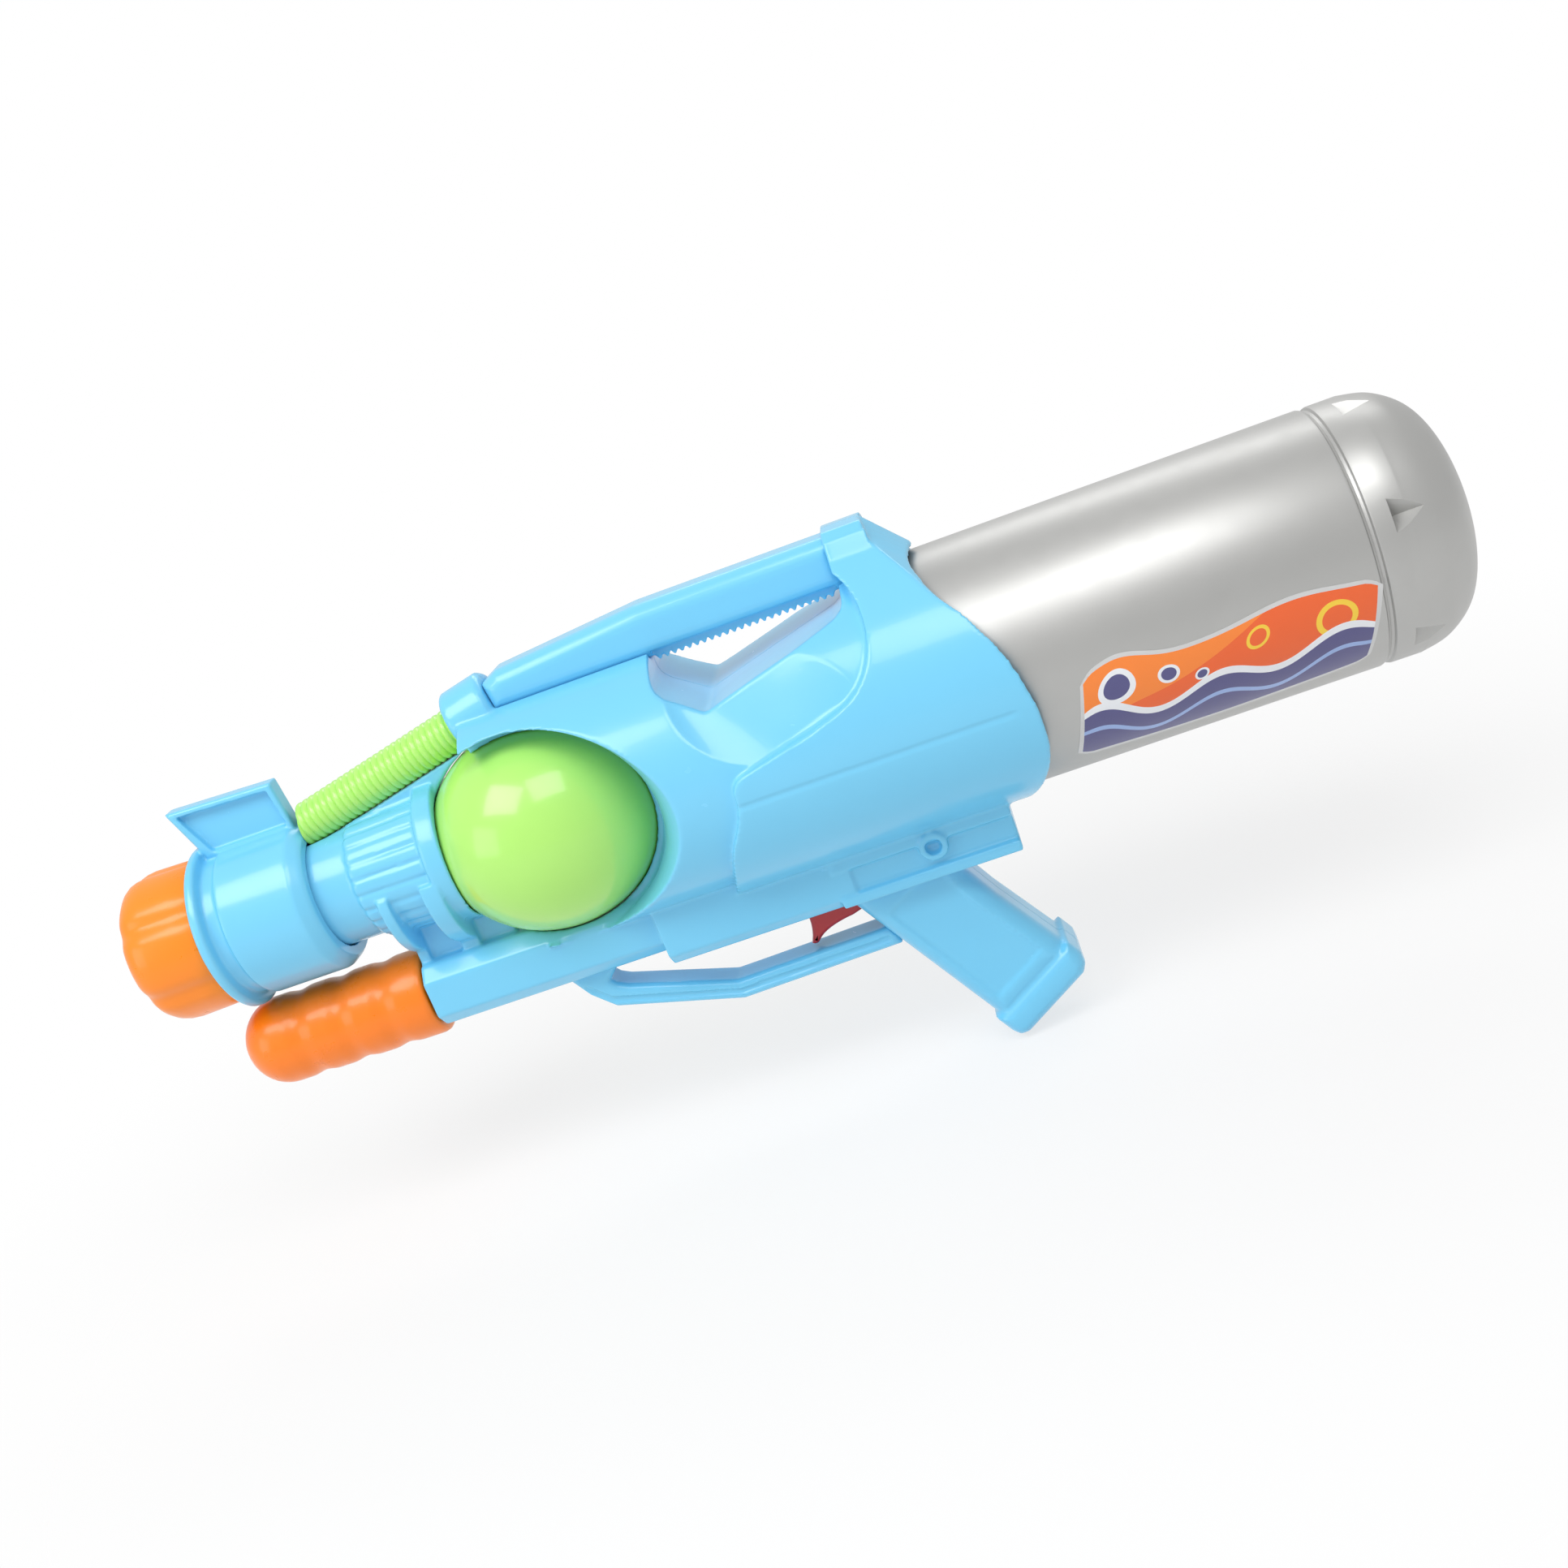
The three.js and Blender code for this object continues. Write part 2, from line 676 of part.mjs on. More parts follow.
function screw(x, z, seat) {
  const tip = seat - screwLength;
  const profile = [
    [0, tip], [screwRadius, tip + 1.5], [screwRadius, seat + fit],
    [screwHead, seat + fit], [screwHead, seat + fit + screwHeadHeight], [0, seat + fit + screwHeadHeight],
  ];
  const lathe = new THREE.LatheGeometry(profile.map(([r, y]) => new THREE.Vector2(r, y)), 8);
  lathe.translate(x, 0, z);
  return solid(lathe);
}

// Collar with its sight fin
function collar() {
  const [front, rear] = [collarFront, collarRear];
  const bore = neckRadius + fit;
  const inside = collarRadius - collarWall;
  const profile = [
    [front, inside - 2], [front, collarFlange - 1], [front + 1.2, collarFlange], [front + 4, collarFlange],
    [front + 5, collarGroove], [front + 11, collarGroove], [front + 12.5, collarRadius],
    [rear - 4.5, collarRadius], [rear - 4, collarRadius + 0.7], [rear - 0.8, collarRadius + 0.7],
    [rear, collarRadius], [rear, bore], [front + 26, bore], [front + 26, bore + collarWall],
    [rear - 4, bore + collarWall], [rear - 4, inside], [front + 13, inside], [front + 11, inside - 2],
    [front, inside - 2],
  ];
  const fin = (inset) => [
    [front - 6 + inset * 1.6, collarRadius + finHeight - inset],
    [rear - 9 - inset, collarRadius + finHeight - 2 - inset],
    [rear - 7 - inset, collarRadius - 2 + inset],
    [front + 3 + inset * 1.4, collarRadius - 2 + inset],
  ];
  const blade = plate(fin(0), finWidth, 1.2).subtract(
    union(...[-1, 1].map((s) => plate(fin(finRim), finWidth).translate([0, s * (finWidth - 2), 0]))));
  const ringSolid = turned(profile, 24);
  const core = rod(front + 12, rear, inside + 0.5, 26);
  return ringSolid.add(blade.subtract(core));
}

// Orange nozzle cap: six soft lobes, hollow behind, with a hub that turns on the seat
function nozzleCap() {
  const perLobe = 6;
  const steps = nozzleLobes * perLobe;
  const lobed = (radius, depth) => Array.from({ length: steps }, (_, j) => {
    const angle = (j / steps) * Math.PI * 2;
    const near = Math.abs(((j + perLobe / 2) % perLobe) - perLobe / 2);
    return [angle, radius - depth * Math.max(0, 1 - near / 1.5)];
  });
  const ring = (x, radius, depth) => lobed(radius, depth).map(([angle, r]) =>
    new THREE.Vector3(x, r * Math.cos(angle), r * Math.sin(angle)));
  const [front, rear] = [nozzleFront, collarFront - fit];
  const skin = loft([
    ring(front, nozzleRadius - 8, nozzleGroove), ring(front + 2, nozzleRadius - 3.4, nozzleGroove),
    ring(front + 6.5, nozzleRadius - 0.8, nozzleGroove), ring(front + 11, nozzleRadius, nozzleGroove),
    ring(rear, nozzleRadius - 1, nozzleGroove),
  ]);
  const inside = nozzleRadius - nozzleGroove - nozzleWall;
  const hollow = turned([
    [front + nozzleWall + 4, nozzleHub + fit + 3], [front + nozzleWall + 4, inside - 5], [front + 12, inside],
    [rear + 1, inside], [rear + 1, nozzleHub + fit + 3], [front + nozzleWall + 4, nozzleHub + fit + 3],
  ], 20);
  const socket = rod(front + nozzleWall + 2, rear + 1, nozzleHub + fit, 16);
  const mouth = turned([[front - 1, 0], [front - 1, 9], [front + 3, 5], [front + 20, 5], [front + 20, 0]], 16);
  return skin.subtract(union(hollow, socket, mouth));
}

// Seat that plugs the end of the barrel and carries the nozzle cap
function nozzleSeat() {
  const plugRadius = neckRadius - wall - fit;
  const front = collarFront + 8;
  return turned([
    [nozzleFront + 10, barbBore], [nozzleFront + 10, nozzleHub], [front - 1, nozzleHub],
    [front - 1, plugRadius + 3], [front - fit, plugRadius + 3], [front - fit, plugRadius], [front + 7, plugRadius],
    [front + 7, 6], [front + 10, 6], [front + 10, barbRadius], [front + 20, barbRadius], [front + 20, barbBore],
    [nozzleFront + 10, barbBore],
  ], 16);
}

// Hand pump
function pumpCylinder() {
  const [front, rear] = [cylinderFront, cylinderRear];
  return turned([
    [front, cylinderBore], [front, cylinderRadius], [rear, cylinderRadius], [rear, barbRadius],
    [rear + 8, barbRadius], [rear + 8, barbBore], [rear - 3, barbBore], [rear - 3, cylinderBore],
    [front, cylinderBore],
  ], 20, 0, cylinderZ);
}

function rodGuide() {
  const front = cylinderFront;
  const spigot = cylinderBore - fit;
  return turned([
    [front - 4, rodRadius + fit], [front - 4, cylinderRadius], [front - fit, cylinderRadius],
    [front - fit, spigot], [front + 6, spigot], [front + 6, rodRadius + fit], [front - 4, rodRadius + fit],
  ], 16, 0, cylinderZ);
}

const pistonRear = cylinderRear - 9;
const pistonFront = pistonRear - pistonLength;

function pumpPiston() {
  const radius = cylinderBore - fit;
  const [groove, mid] = [radius - 2, pistonFront + pistonLength / 2];
  return turned([
    [pistonFront, rodRadius + fit], [pistonFront, radius], [mid - 1.6, radius], [mid - 1.6, groove],
    [mid + 1.6, groove], [mid + 1.6, radius], [pistonRear, radius], [pistonRear, 0], [pistonRear - 3, 0],
    [pistonRear - 3, rodRadius + fit], [pistonFront, rodRadius + fit],
  ], 16, 0, cylinderZ);
}

function pistonRing() {
  const mid = pistonFront + pistonLength / 2;
  const [inside, outside, half] = [cylinderBore - 2 * fit - 1.5, cylinderBore - 0.2, 1.3];
  return turned([
    [mid - half, inside], [mid - half, outside - 0.5], [mid, outside], [mid + half, outside - 0.5],
    [mid + half, inside], [mid - half, inside],
  ], 16, 0, cylinderZ);
}

const rodFront = grabRear - 30;

function pumpRod() {
  return rod(rodFront, pistonRear - 3 - fit, rodRadius, 12, 0, cylinderZ);
}

function pumpHandle() {
  const front = grabRear - grabLength;
  const dome = 18;
  const profile = [[front, 0]];
  for (let i = 1; i <= 4; i++) {
    const angle = (i / 5) * Math.PI / 2;
    profile.push([front + dome * (1 - Math.cos(angle)), grabRadius * Math.sin(angle)]);
  }
  const pitch = (grabLength - dome) / (grabBulges - 0.4);
  for (let i = 0; i < grabBulges - 1; i++) {
    const x = front + dome + pitch * (i + 0.62);
    profile.push([x - 7, grabRadius], [x - 2, grabWaist], [x + 2, grabWaist], [x + 7, grabRadius]);
  }
  profile.push([grabRear - 2, grabRadius], [grabRear, grabRadius - 2], [grabRear, 0]);
  const socket = rod(rodFront - fit, grabRear + 1, rodRadius + fit, 12, 0, cylinderZ);
  return turned(profile, 18, 0, pumpZ - grabDrop).subtract(socket);
}

// Trigger: a curved blade on a pin, with a web that pushes the valve plunger
const plungerTip = gripFrontX + 0.5;

function trigger() {
  const shape = new THREE.Shape();
  shape.moveTo(pivotX - 4, pivotZ - 9);
  shape.quadraticCurveTo(pivotX - 2, pivotZ - 19, pivotX - 6, pivotZ - 27);
  shape.quadraticCurveTo(pivotX - 3.5, pivotZ - 28.5, pivotX - 2, pivotZ - 26.5);
  shape.quadraticCurveTo(pivotX + 2, pivotZ - 22, pivotX + 15, pivotZ - 20.5);
  shape.lineTo(plungerTip - fit, valveZ - 4);
  shape.lineTo(plungerTip - fit, valveZ + 4);
  shape.lineTo(pivotX + 4.5, pivotZ + 2);
  shape.quadraticCurveTo(pivotX, pivotZ + 7, pivotX - 4.5, pivotZ + 2);
  const blade = plate(shape, triggerWidth);
  return blade.subtract(crossRod(pivotX, pivotZ, -span, span, pinRadius + fit, 12));
}

function triggerPin() {
  return crossRod(pivotX, pivotZ, -triggerWidth / 2 - 8, triggerWidth / 2 + 8, pinRadius, 12);
}

// Valve: a bored body with two barbs, a plunger with its ring, and the return spring
const valveRear = valveFront + valveLength;
const outletX = valveFront + 7;
const inletX = valveRear - 6;
const barbTop = valveZ + valveRadius + 9;

function valveBody() {
  const barrel = turned([
    [valveFront, plungerStem + fit], [valveFront, valveRadius], [valveRear, valveRadius], [valveRear, 0],
    [valveRear - 2.5, 0], [valveRear - 2.5, valveBore], [valveFront + 2.5, valveBore],
    [valveFront + 2.5, plungerStem + fit], [valveFront, plungerStem + fit],
  ], 16, 0, valveZ);
  const cavity = rod(valveFront + 2.5, valveRear - 2.5, valveBore, 16, 0, valveZ);
  const barbs = [outletX, inletX].map((x) => upright(x, 0, valveZ, barbTop, barbRadius, 10));
  const bores = [outletX, inletX].map((x) => upright(x, 0, valveZ, barbTop + 1, barbBore, 8));
  return barrel.add(union(...barbs).subtract(cavity)).subtract(union(...bores));
}

const headFront = valveFront + 2.5 + fit;
const headRear = headFront + 7;

function valvePlunger() {
  const [radius, groove, mid] = [valveBore - fit, valveBore - 1.8, (headFront + headRear) / 2];
  return turned([
    [plungerTip, 0], [plungerTip, plungerStem], [headFront, plungerStem], [headFront, radius],
    [mid - 1.1, radius], [mid - 1.1, groove], [mid + 1.1, groove], [mid + 1.1, radius], [headRear, radius],
    [headRear, 0],
  ], 16, 0, valveZ);
}

function valveRing() {
  const mid = (headFront + headRear) / 2;
  const [inside, outside, half] = [valveBore - 1.5, valveBore - 0.15, 0.85];
  return turned([
    [mid - half, inside], [mid - half, outside], [mid + half, outside], [mid + half, inside], [mid - half, inside],
  ], 16, 0, valveZ);
}

function valveSpring() {
  const [start, end] = [headRear + fit + springWire, valveRear - 2.5 - fit - springWire];
  const radius = valveBore - fit - springWire - 0.6;
  class Coil extends THREE.Curve {
    getPoint(t, target = new THREE.Vector3()) {
      const angle = t * springTurns * Math.PI * 2;
      const y = radius * Math.cos(angle);
      return target.set(start + (end - start) * t, y, valveZ + radius * Math.sin(angle));
    }
  }
  const wire = new THREE.Shape().absarc(0, 0, springWire, 0, Math.PI * 2);
  const coil = new Coil();
  let nearest = Infinity;
  const samples = springTurns * 24;
  for (let i = 0; i + 24 <= samples; i++) {
    const gap = coil.getPoint(i / samples).distanceTo(coil.getPoint((i + 24) / samples)) - 2 * springWire;
    nearest = Math.min(nearest, gap);
  }
  console.log(`valve spring, least gap between turns ${nearest.toFixed(2)} mm`);
  return solid(new THREE.ExtrudeGeometry(wire, { steps: springTurns * 8, extrudePath: coil, curveSegments: 3 }));
}

// Tank: a blow-moulded bottle with a dome ringed by notches
function tank() {
  const [mouth, end, r] = [tankMouth, tankEnd, tankRadius];
  const neckEnd = mouth + tankNeckLength;
  const groove = end - tankGroove;
  const skin = [
    [mouth, tankNeck], [neckEnd, tankNeck], [neckEnd + 3, r * 0.5], [neckEnd + 9, r * 0.72], [neckEnd + 17, r * 0.9],
    [neckEnd + 27, r], [groove - 2, r], [groove, r - 1.3], [groove + 2, r - 1.3], [groove + 4, r],
    [end - 29, r], [end - 19, r * 0.945], [end - 10, r * 0.81], [end - 4, r * 0.6], [end - 0.8, r * 0.32], [end, 0],
  ];
  const inner = [
    [end - domeWall, 0], [end - domeWall - 1, r * 0.3], [end - domeWall - 6, r * 0.62],
    [end - domeWall - 15, r * 0.83], [end - 30, r - domeWall], [groove - 2, r - tankWall - 1.3],
    [neckEnd + 28, r - tankWall], [neckEnd + 18, r * 0.9 - tankWall], [neckEnd + 10, r * 0.72 - tankWall],
    [neckEnd + 4, r * 0.5 - tankWall], [neckEnd + 1, tankNeck - tankWall], [mouth, tankNeck - tankWall],
    [mouth, tankNeck],
  ];
  const bottle = turned([...skin, ...inner], 24);
  const depth = 2.6;
  const notches = Array.from({ length: notchCount }, (_, i) => {
    const wide = 8.5;
    const tall = (x) => r - depth + (x - (end - 33)) * -0.02;
    const notch = loft([
      [[end - 33, -wide, tall(0)], [end - 33, wide, tall(0)], [end - 33, 0, r + 5]],
      [[end - 15, -0.4, r * 0.83], [end - 15, 0.4, r * 0.83], [end - 15, 0, r + 5]],
    ].map((ring) => ring.map((p) => new THREE.Vector3(...p))));
    return notch.rotate([notchTurn + i * (360 / notchCount), 0, 0]);
  });
  return bottle.subtract(union(...notches));
}

function tankGasket() {
  const [front, rear] = [tankMouth - 1.7, tankMouth - fit];
  return turned([
    [front, tankNeck - 5], [front, tankNeck - 0.3], [rear, tankNeck - 0.3], [rear, tankNeck - 5],
    [front, tankNeck - 5],
  ], 20);
}

function tankSocket() {
  const back = tankMouth - 2;
  const front = back - socketWall;
  const cup = turned([
    [front, 0], [front, tankNeck + 8], [front + 2, tankNeck + 8], [front + 2, tankNeck + 4],
    [tankMouth + tankNeckLength - 4, tankNeck + 4], [tankMouth + tankNeckLength - 4, tankNeck + 0.4],
    [back, tankNeck + 0.4], [back, 0],
  ], 22);
  const nipple = rod(front - 9, back, barbRadius, 12, portOffset, 0);
  const ports = union(
    rod(front - 10, back + 1, barbRadius + fit, 12, -portOffset, 0),
    rod(front - 10, back + 1, barbBore, 8, portOffset, 0));
  return cup.add(nipple).subtract(ports);
}

function airValve() {
  const back = tankMouth - 2 + fit;
  return turned([
    [back, barbBore + 0.4], [back, 4.5], [back + 2, 4.5], [back + 7, 1.8], [back + 7, 0], [back + 4, 0],
    [back, barbBore + 0.4],
  ], 12, portOffset, 0);
}

const socketFront = tankMouth - 2 - socketWall;
const hoseStart = socketFront - 1;

function dipTube() {
  return hose([
    [socketFront - 9, -portOffset, 0], [tankMouth - 2, -portOffset, 0], [tankMouth + 10, -portOffset, 0],
    [tankMouth + 30, -portOffset, -4],
    [tankMouth + 60, -4, -22], [tankMouth + 100, 0, -36], [tankMouth + 160, 0, -42], [tankEnd - 40, 0, -44],
  ], barbRadius, barbBore, 10);
}

function waterHose() {
  return hose([
    [hoseStart, -portOffset, 0], [hoseStart - 5, -portOffset, 0], [hoseStart - 10, -portOffset, 0],
    [-2, -12, -8], [0, -14, -24], [12, -14, -41], [30, -13, -51], [42, -7, -53], [inletX, 0, barbTop + 4],
    [inletX, 0, barbTop - 2], [inletX, 0, barbTop - 7],
  ], hoseRadius, hoseBore, 14);
}

function airHose() {
  const rear = cylinderRear;
  return hose([
    [rear + 1, 0, cylinderZ], [rear + 6, 0, cylinderZ], [rear + 11, 0, cylinderZ], [rear + 19, 7, cylinderZ + 8],
    [0, 15, -36], [-2, 16, -20], [-2, 12, -6], [hoseStart - 10, portOffset, 0], [hoseStart - 5, portOffset, 0],
    [hoseStart, portOffset, 0],
  ], hoseRadius, hoseBore, 13);
}

function feedTube() {
  const end = bulbX + bulbLength / 2 + bulbNeck - 10;
  return hose([
    [outletX, 0, barbTop - 7], [outletX, 0, barbTop - 2], [outletX, 0, barbTop + 4], [outletX - 6, 0, -48],
    [8, 0, -34], [-12, 0, -18], [-26, 0, bulbZ - 2], [end + 12, 0, bulbZ], [end + 6, 0, bulbZ], [end, 0, bulbZ],
  ], hoseRadius, hoseBore, 13);
}

function barrelTube() {
  const start = bulbX - bulbLength / 2 - bulbNeck + 10;
  const end = collarFront + 8 + 12;
  return hose([
    [start, 0, bulbZ], [start - 6, 0, bulbZ], [start - 12, 0, bulbZ], [(start + end) / 2, 0, bulbZ / 2],
    [end + 14, 0, 0], [end + 7, 0, 0], [end, 0, 0],
  ], hoseRadius, hoseBore, 8);
}

// Finishes
function plastic(colour, roughness, metalness = 0) {
  return new THREE.MeshStandardMaterial({ color: colour, roughness, metalness, flatShading: true });
}

const skyBlue = plastic(0x7cd4f8, 0.3);
const limeGreen = plastic(0xb5ef77, 0.25);
const orange = plastic(0xff9831, 0.35);
const red = plastic(0xb8242b, 0.35);
const silver = plastic(0xc9c9c5, 0.35, 0.5);
const whitePlastic = plastic(0xe8e8e4, 0.45);
const blackRubber = plastic(0x222222, 0.8);
const clearHose = plastic(0xdfe6e4, 0.3);
const steel = plastic(0xb5b7ba, 0.3, 0.9);

const squirter = new THREE.Group();
squirter.name = 'water_squirter';

function place(name, shape, material) {
  const mesh = new THREE.Mesh(geometryOf(shape), material);
  mesh.name = name;
  squirter.add(mesh);
}

const [leftHalf, rightHalf] = bodyHalves();
place('left_body_shell', leftHalf, skyBlue);
place('right_body_shell', rightHalf, skyBlue);
place('carry_rail', carryRail(), skyBlue);
place('hand_guard', handGuard(), skyBlue);
place('front_collar', collar(), skyBlue);
place('nozzle_cap', nozzleCap(), orange);
place('nozzle_seat', nozzleSeat(), whitePlastic);
place('barrel_tube', barrelTube(), clearHose);
place('ribbed_hose', ribbedHose(), limeGreen);
place('pressure_bulb', pressureBulb(), limeGreen);
place('feed_tube', feedTube(), clearHose);
place('pump_handle', pumpHandle(), orange);
place('pump_rod', pumpRod(), whitePlastic);
place('pump_piston', pumpPiston(), whitePlastic);
place('piston_ring', pistonRing(), blackRubber);
place('rod_guide', rodGuide(), whitePlastic);
place('pump_cylinder', pumpCylinder(), whitePlastic);
place('air_hose', airHose(), clearHose);
place('trigger', trigger(), red);
place('trigger_pin', triggerPin(), steel);
place('valve_body', valveBody(), whitePlastic);
place('valve_plunger', valvePlunger(), whitePlastic);
place('valve_ring', valveRing(), blackRubber);
place('valve_spring', valveSpring(), steel);
place('water_hose', waterHose(), clearHose);
place('tank', tank(), silver);
place('tank_gasket', tankGasket(), blackRubber);
place('tank_socket', tankSocket(), whitePlastic);
place('air_valve', airValve(), blackRubber);
place('dip_tube', dipTube(), clearHose);
screwPlaces.forEach(([x, z, seat], i) => {
  place(`body_screw_${String(i + 1).padStart(2, '0')}`, screw(x, z, seat), steel);
});

// The origin lies under the middle of the object, level with the lowest edge of the grip
const [, buttLow] = gripPoint(gripLength + buttLength, 3);
const middleX = (nozzleFront + tankEnd) / 2;
squirter.position.set(-middleX, 0, -buttLow);

export default squirter;
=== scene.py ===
"""Pump-up toy water squirter: the moulded shells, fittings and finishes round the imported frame."""
import math

import bmesh
import bpy
from mathutils import Matrix, Vector


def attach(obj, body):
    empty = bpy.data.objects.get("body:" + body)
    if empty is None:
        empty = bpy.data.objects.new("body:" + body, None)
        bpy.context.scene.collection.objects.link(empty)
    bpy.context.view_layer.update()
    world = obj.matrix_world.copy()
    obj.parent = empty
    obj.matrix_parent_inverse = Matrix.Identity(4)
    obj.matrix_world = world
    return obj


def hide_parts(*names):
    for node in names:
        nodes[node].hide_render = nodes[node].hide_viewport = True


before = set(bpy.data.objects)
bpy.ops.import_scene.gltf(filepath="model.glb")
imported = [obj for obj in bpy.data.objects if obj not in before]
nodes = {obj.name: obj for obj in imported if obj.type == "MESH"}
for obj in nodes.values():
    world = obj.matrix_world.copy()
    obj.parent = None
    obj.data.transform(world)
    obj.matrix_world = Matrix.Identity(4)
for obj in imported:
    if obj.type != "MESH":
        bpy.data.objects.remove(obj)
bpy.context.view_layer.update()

# Body halves
# The real body is one pair of injection-moulded halves that meet on the middle plane. It takes in the
# barrel neck, the fluted section, the pump tube, the recess round the bulb, the scoop, the tank housing
# and the grip. Sizes are in millimetres from the barrel axis, as on the drawing of the part.
ORIGIN = Vector((-2.0, 0.0, 155.3175))
FIT = 0.3
WALL = 2.5
FAR = 400.0


def mesh_object(name, points, faces):
    mesh = bpy.data.meshes.new(name)
    mesh.from_pydata([(Vector(p) + ORIGIN) * 0.001 for p in points], [], faces)
    work = bmesh.new()
    work.from_mesh(mesh)
    bmesh.ops.remove_doubles(work, verts=work.verts, dist=1e-7)
    bmesh.ops.recalc_face_normals(work, faces=work.faces)
    work.to_mesh(mesh)
    work.free()
    made = bpy.data.objects.new(name, mesh)
    bpy.context.scene.collection.objects.link(made)
    return made


def apply_modifiers(thing):
    bpy.context.view_layer.update()
    graph = bpy.context.evaluated_depsgraph_get()
    mesh = bpy.data.meshes.new_from_object(thing.evaluated_get(graph))
    thing.modifiers.clear()
    thing.data = mesh
    return thing


def combine(first, second, operation):
    modifier = first.modifiers.new("combine", "BOOLEAN")
    modifier.operation = operation
    modifier.solver = "MANIFOLD"
    modifier.object = second
    apply_modifiers(first)
    bpy.data.objects.remove(second)
    return first


def join(first, *others):
    for other in others:
        combine(first, other, "UNION")
    return first


def cut(first, *others):
    for other in others:
        combine(first, other, "DIFFERENCE")
    return first


def skin(name, rings, closed=False):
    count = len(rings[0])
    points = [p for ring in rings for p in ring]
    faces = []
    spans = len(rings) if closed else len(rings) - 1
    for i in range(spans):
        for j in range(count):
            a, b = i * count + j, i * count + (j + 1) % count
            c, d = (b + count) % len(points), (a + count) % len(points)
            faces.append((a, b, c, d))
    if not closed:
        faces.append(tuple(range(count - 1, -1, -1)))
        faces.append(tuple(range(len(points) - count, len(points))))
    return mesh_object(name, points, faces)


def turned(name, profile, segments, y=0.0, z=0.0):
    loop = profile[0] == profile[-1]
    profile = profile[:-1] if loop else profile
    rings = []
    for x, radius in profile:
        radius = max(radius, 0.0)
        ring = []
        for j in range(segments):
            angle = 2 * math.pi * (j + 0.5) / segments
            ring.append((x, y + radius * math.cos(angle), z + radius * math.sin(angle)))
        rings.append(ring)
    if loop:
        return skin(name, rings, closed=True)
    points, faces = [], []
    index = []
    for (x, radius), ring in zip(profile, rings):
        if radius < 1e-6:
            index.append([len(points)] * segments)
            points.append((x, y, z))
        else:
            index.append(list(range(len(points), len(points) + segments)))
            points.extend(ring)
    for low, high in zip(index, index[1:]):
        for j in range(segments):
            k = (j + 1) % segments
            corners = []
            for corner in (low[j], low[k], high[k], high[j]):
                if corner not in corners:
                    corners.append(corner)
            if len(corners) > 2:
                faces.append(tuple(corners))
    return mesh_object(name, points, faces)


def rod(x0, x1, radius, segments=64, y=0.0, z=0.0):
    return turned("rod", [(x0, 0), (x0, radius), (x1, radius), (x1, 0)], segments, y, z)


def cross_rod(x, z, y0, y1, radius, segments=32):
    angles = [2 * math.pi * j / segments for j in range(segments)]
    rings = [[(x + radius * math.cos(a), y, z + radius * math.sin(a)) for a in angles] for y in (y0, y1)]
    return skin("cross_rod", rings)


def block(x0, x1, y0, y1, z0, z1):
    rings = [[(x, y0, z0), (x, y1, z0), (x, y1, z1), (x, y0, z1)] for x in (x0, x1)]
    return skin("block", rings)


def shrunk(outline, inset):
    count = len(outline)
    area = sum(a[0] * b[1] - b[0] * a[1] for a, b in zip(outline, outline[1:] + outline[:1]))
    turn = 1 if area > 0 else -1
    moved = []
    for i, (u, v) in enumerate(outline):
        before = Vector(outline[i - 1])
        here = Vector((u, v))
        after = Vector(outline[(i + 1) % count])
        first = (here - before).normalized()
        second = (after - here).normalized()
        normal = Vector((-first.y - second.y, first.x + second.x)) * turn
        spread = max(0.35, 1 + first.dot(second))
        moved.append(tuple(here + normal * (inset / spread)))
    return moved


def plate(outline, width, edge=0.0, steps=5, y=0.0):
    rows = [(-width / 2, 0.0), (width / 2, 0.0)]
    if edge:
        turn = [i / steps * math.pi / 2 for i in range(steps + 1)]
        near = [(-width / 2 + edge * (1 - math.sin(t)), edge * (1 - math.cos(t))) for t in reversed(turn)]
        rows = near + [(-offset, inset) for offset, inset in reversed(near)]
    rings = [[(u, y + offset, v) for u, v in shrunk(outline, inset)] for offset, inset in rows]
    return skin("plate", rings)


def beam(section, x0, x1):
    return skin("beam", [[(x, u, v) for u, v in section] for x in (x0, x1)])


def bend(points, steps=14):
    found = []
    for i in range(steps):
        t = i / steps
        level = [Vector(p) for p in points]
        while len(level) > 1:
            level = [a.lerp(b, t) for a, b in zip(level, level[1:])]
        found.append(tuple(level[0]))
    return found


def smooth_line(points, steps):
    last = len(points) - 1
    found = []
    for i in range(last):
        p = [Vector(points[min(max(i + k, 0), last)]) for k in (-1, 0, 1, 2)]
        for step in range(steps):
            t = step / steps
            a = 2 * p[1]
            b = p[2] - p[0]
            c = 2 * p[0] - 5 * p[1] + 4 * p[2] - p[3]
            d = 3 * p[1] - p[0] - 3 * p[2] + p[3]
            found.append(tuple((a + b * t + c * t * t + d * t ** 3) * 0.5))
    found.append(tuple(points[-1]))
    return found


def soften(thing, voxel, passes):
    remesh = thing.modifiers.new("remesh", "REMESH")
    remesh.mode = "VOXEL"
    remesh.voxel_size = voxel * 0.001
    ease = thing.modifiers.new("ease", "SMOOTH")
    ease.factor = 0.5
    ease.iterations = passes
    return apply_modifiers(thing)


BULB_X, BULB_Z = -98.5, -3.0
BULB_HALF = Vector((49.0, 46.5, 45.0))
FLUTE_REAR = BULB_X - 46.5
COLLAR_REAR = FLUTE_REAR - 47.0
COLLAR_FRONT = COLLAR_REAR - 51.0
NECK = 24.6
HOUSE, MID = 57.5, 53.5
RAIL_FLOOR, RAIL_TOP = 49.5, 71.5
HANDLE_FRONT, HANDLE_REAR = -31.0, 50.0
PUMP_Z, PUMP_FRONT = -55.5, -172.0
CYLINDER_Z = PUMP_Z - 3.2
LEDGE_LOW = -73.0
PIVOT_X, PIVOT_Z = -7.0, -64.0
VALVE_Z = -79.0
CLIMB = math.radians(12.7)
RAKE = math.radians(58.5)


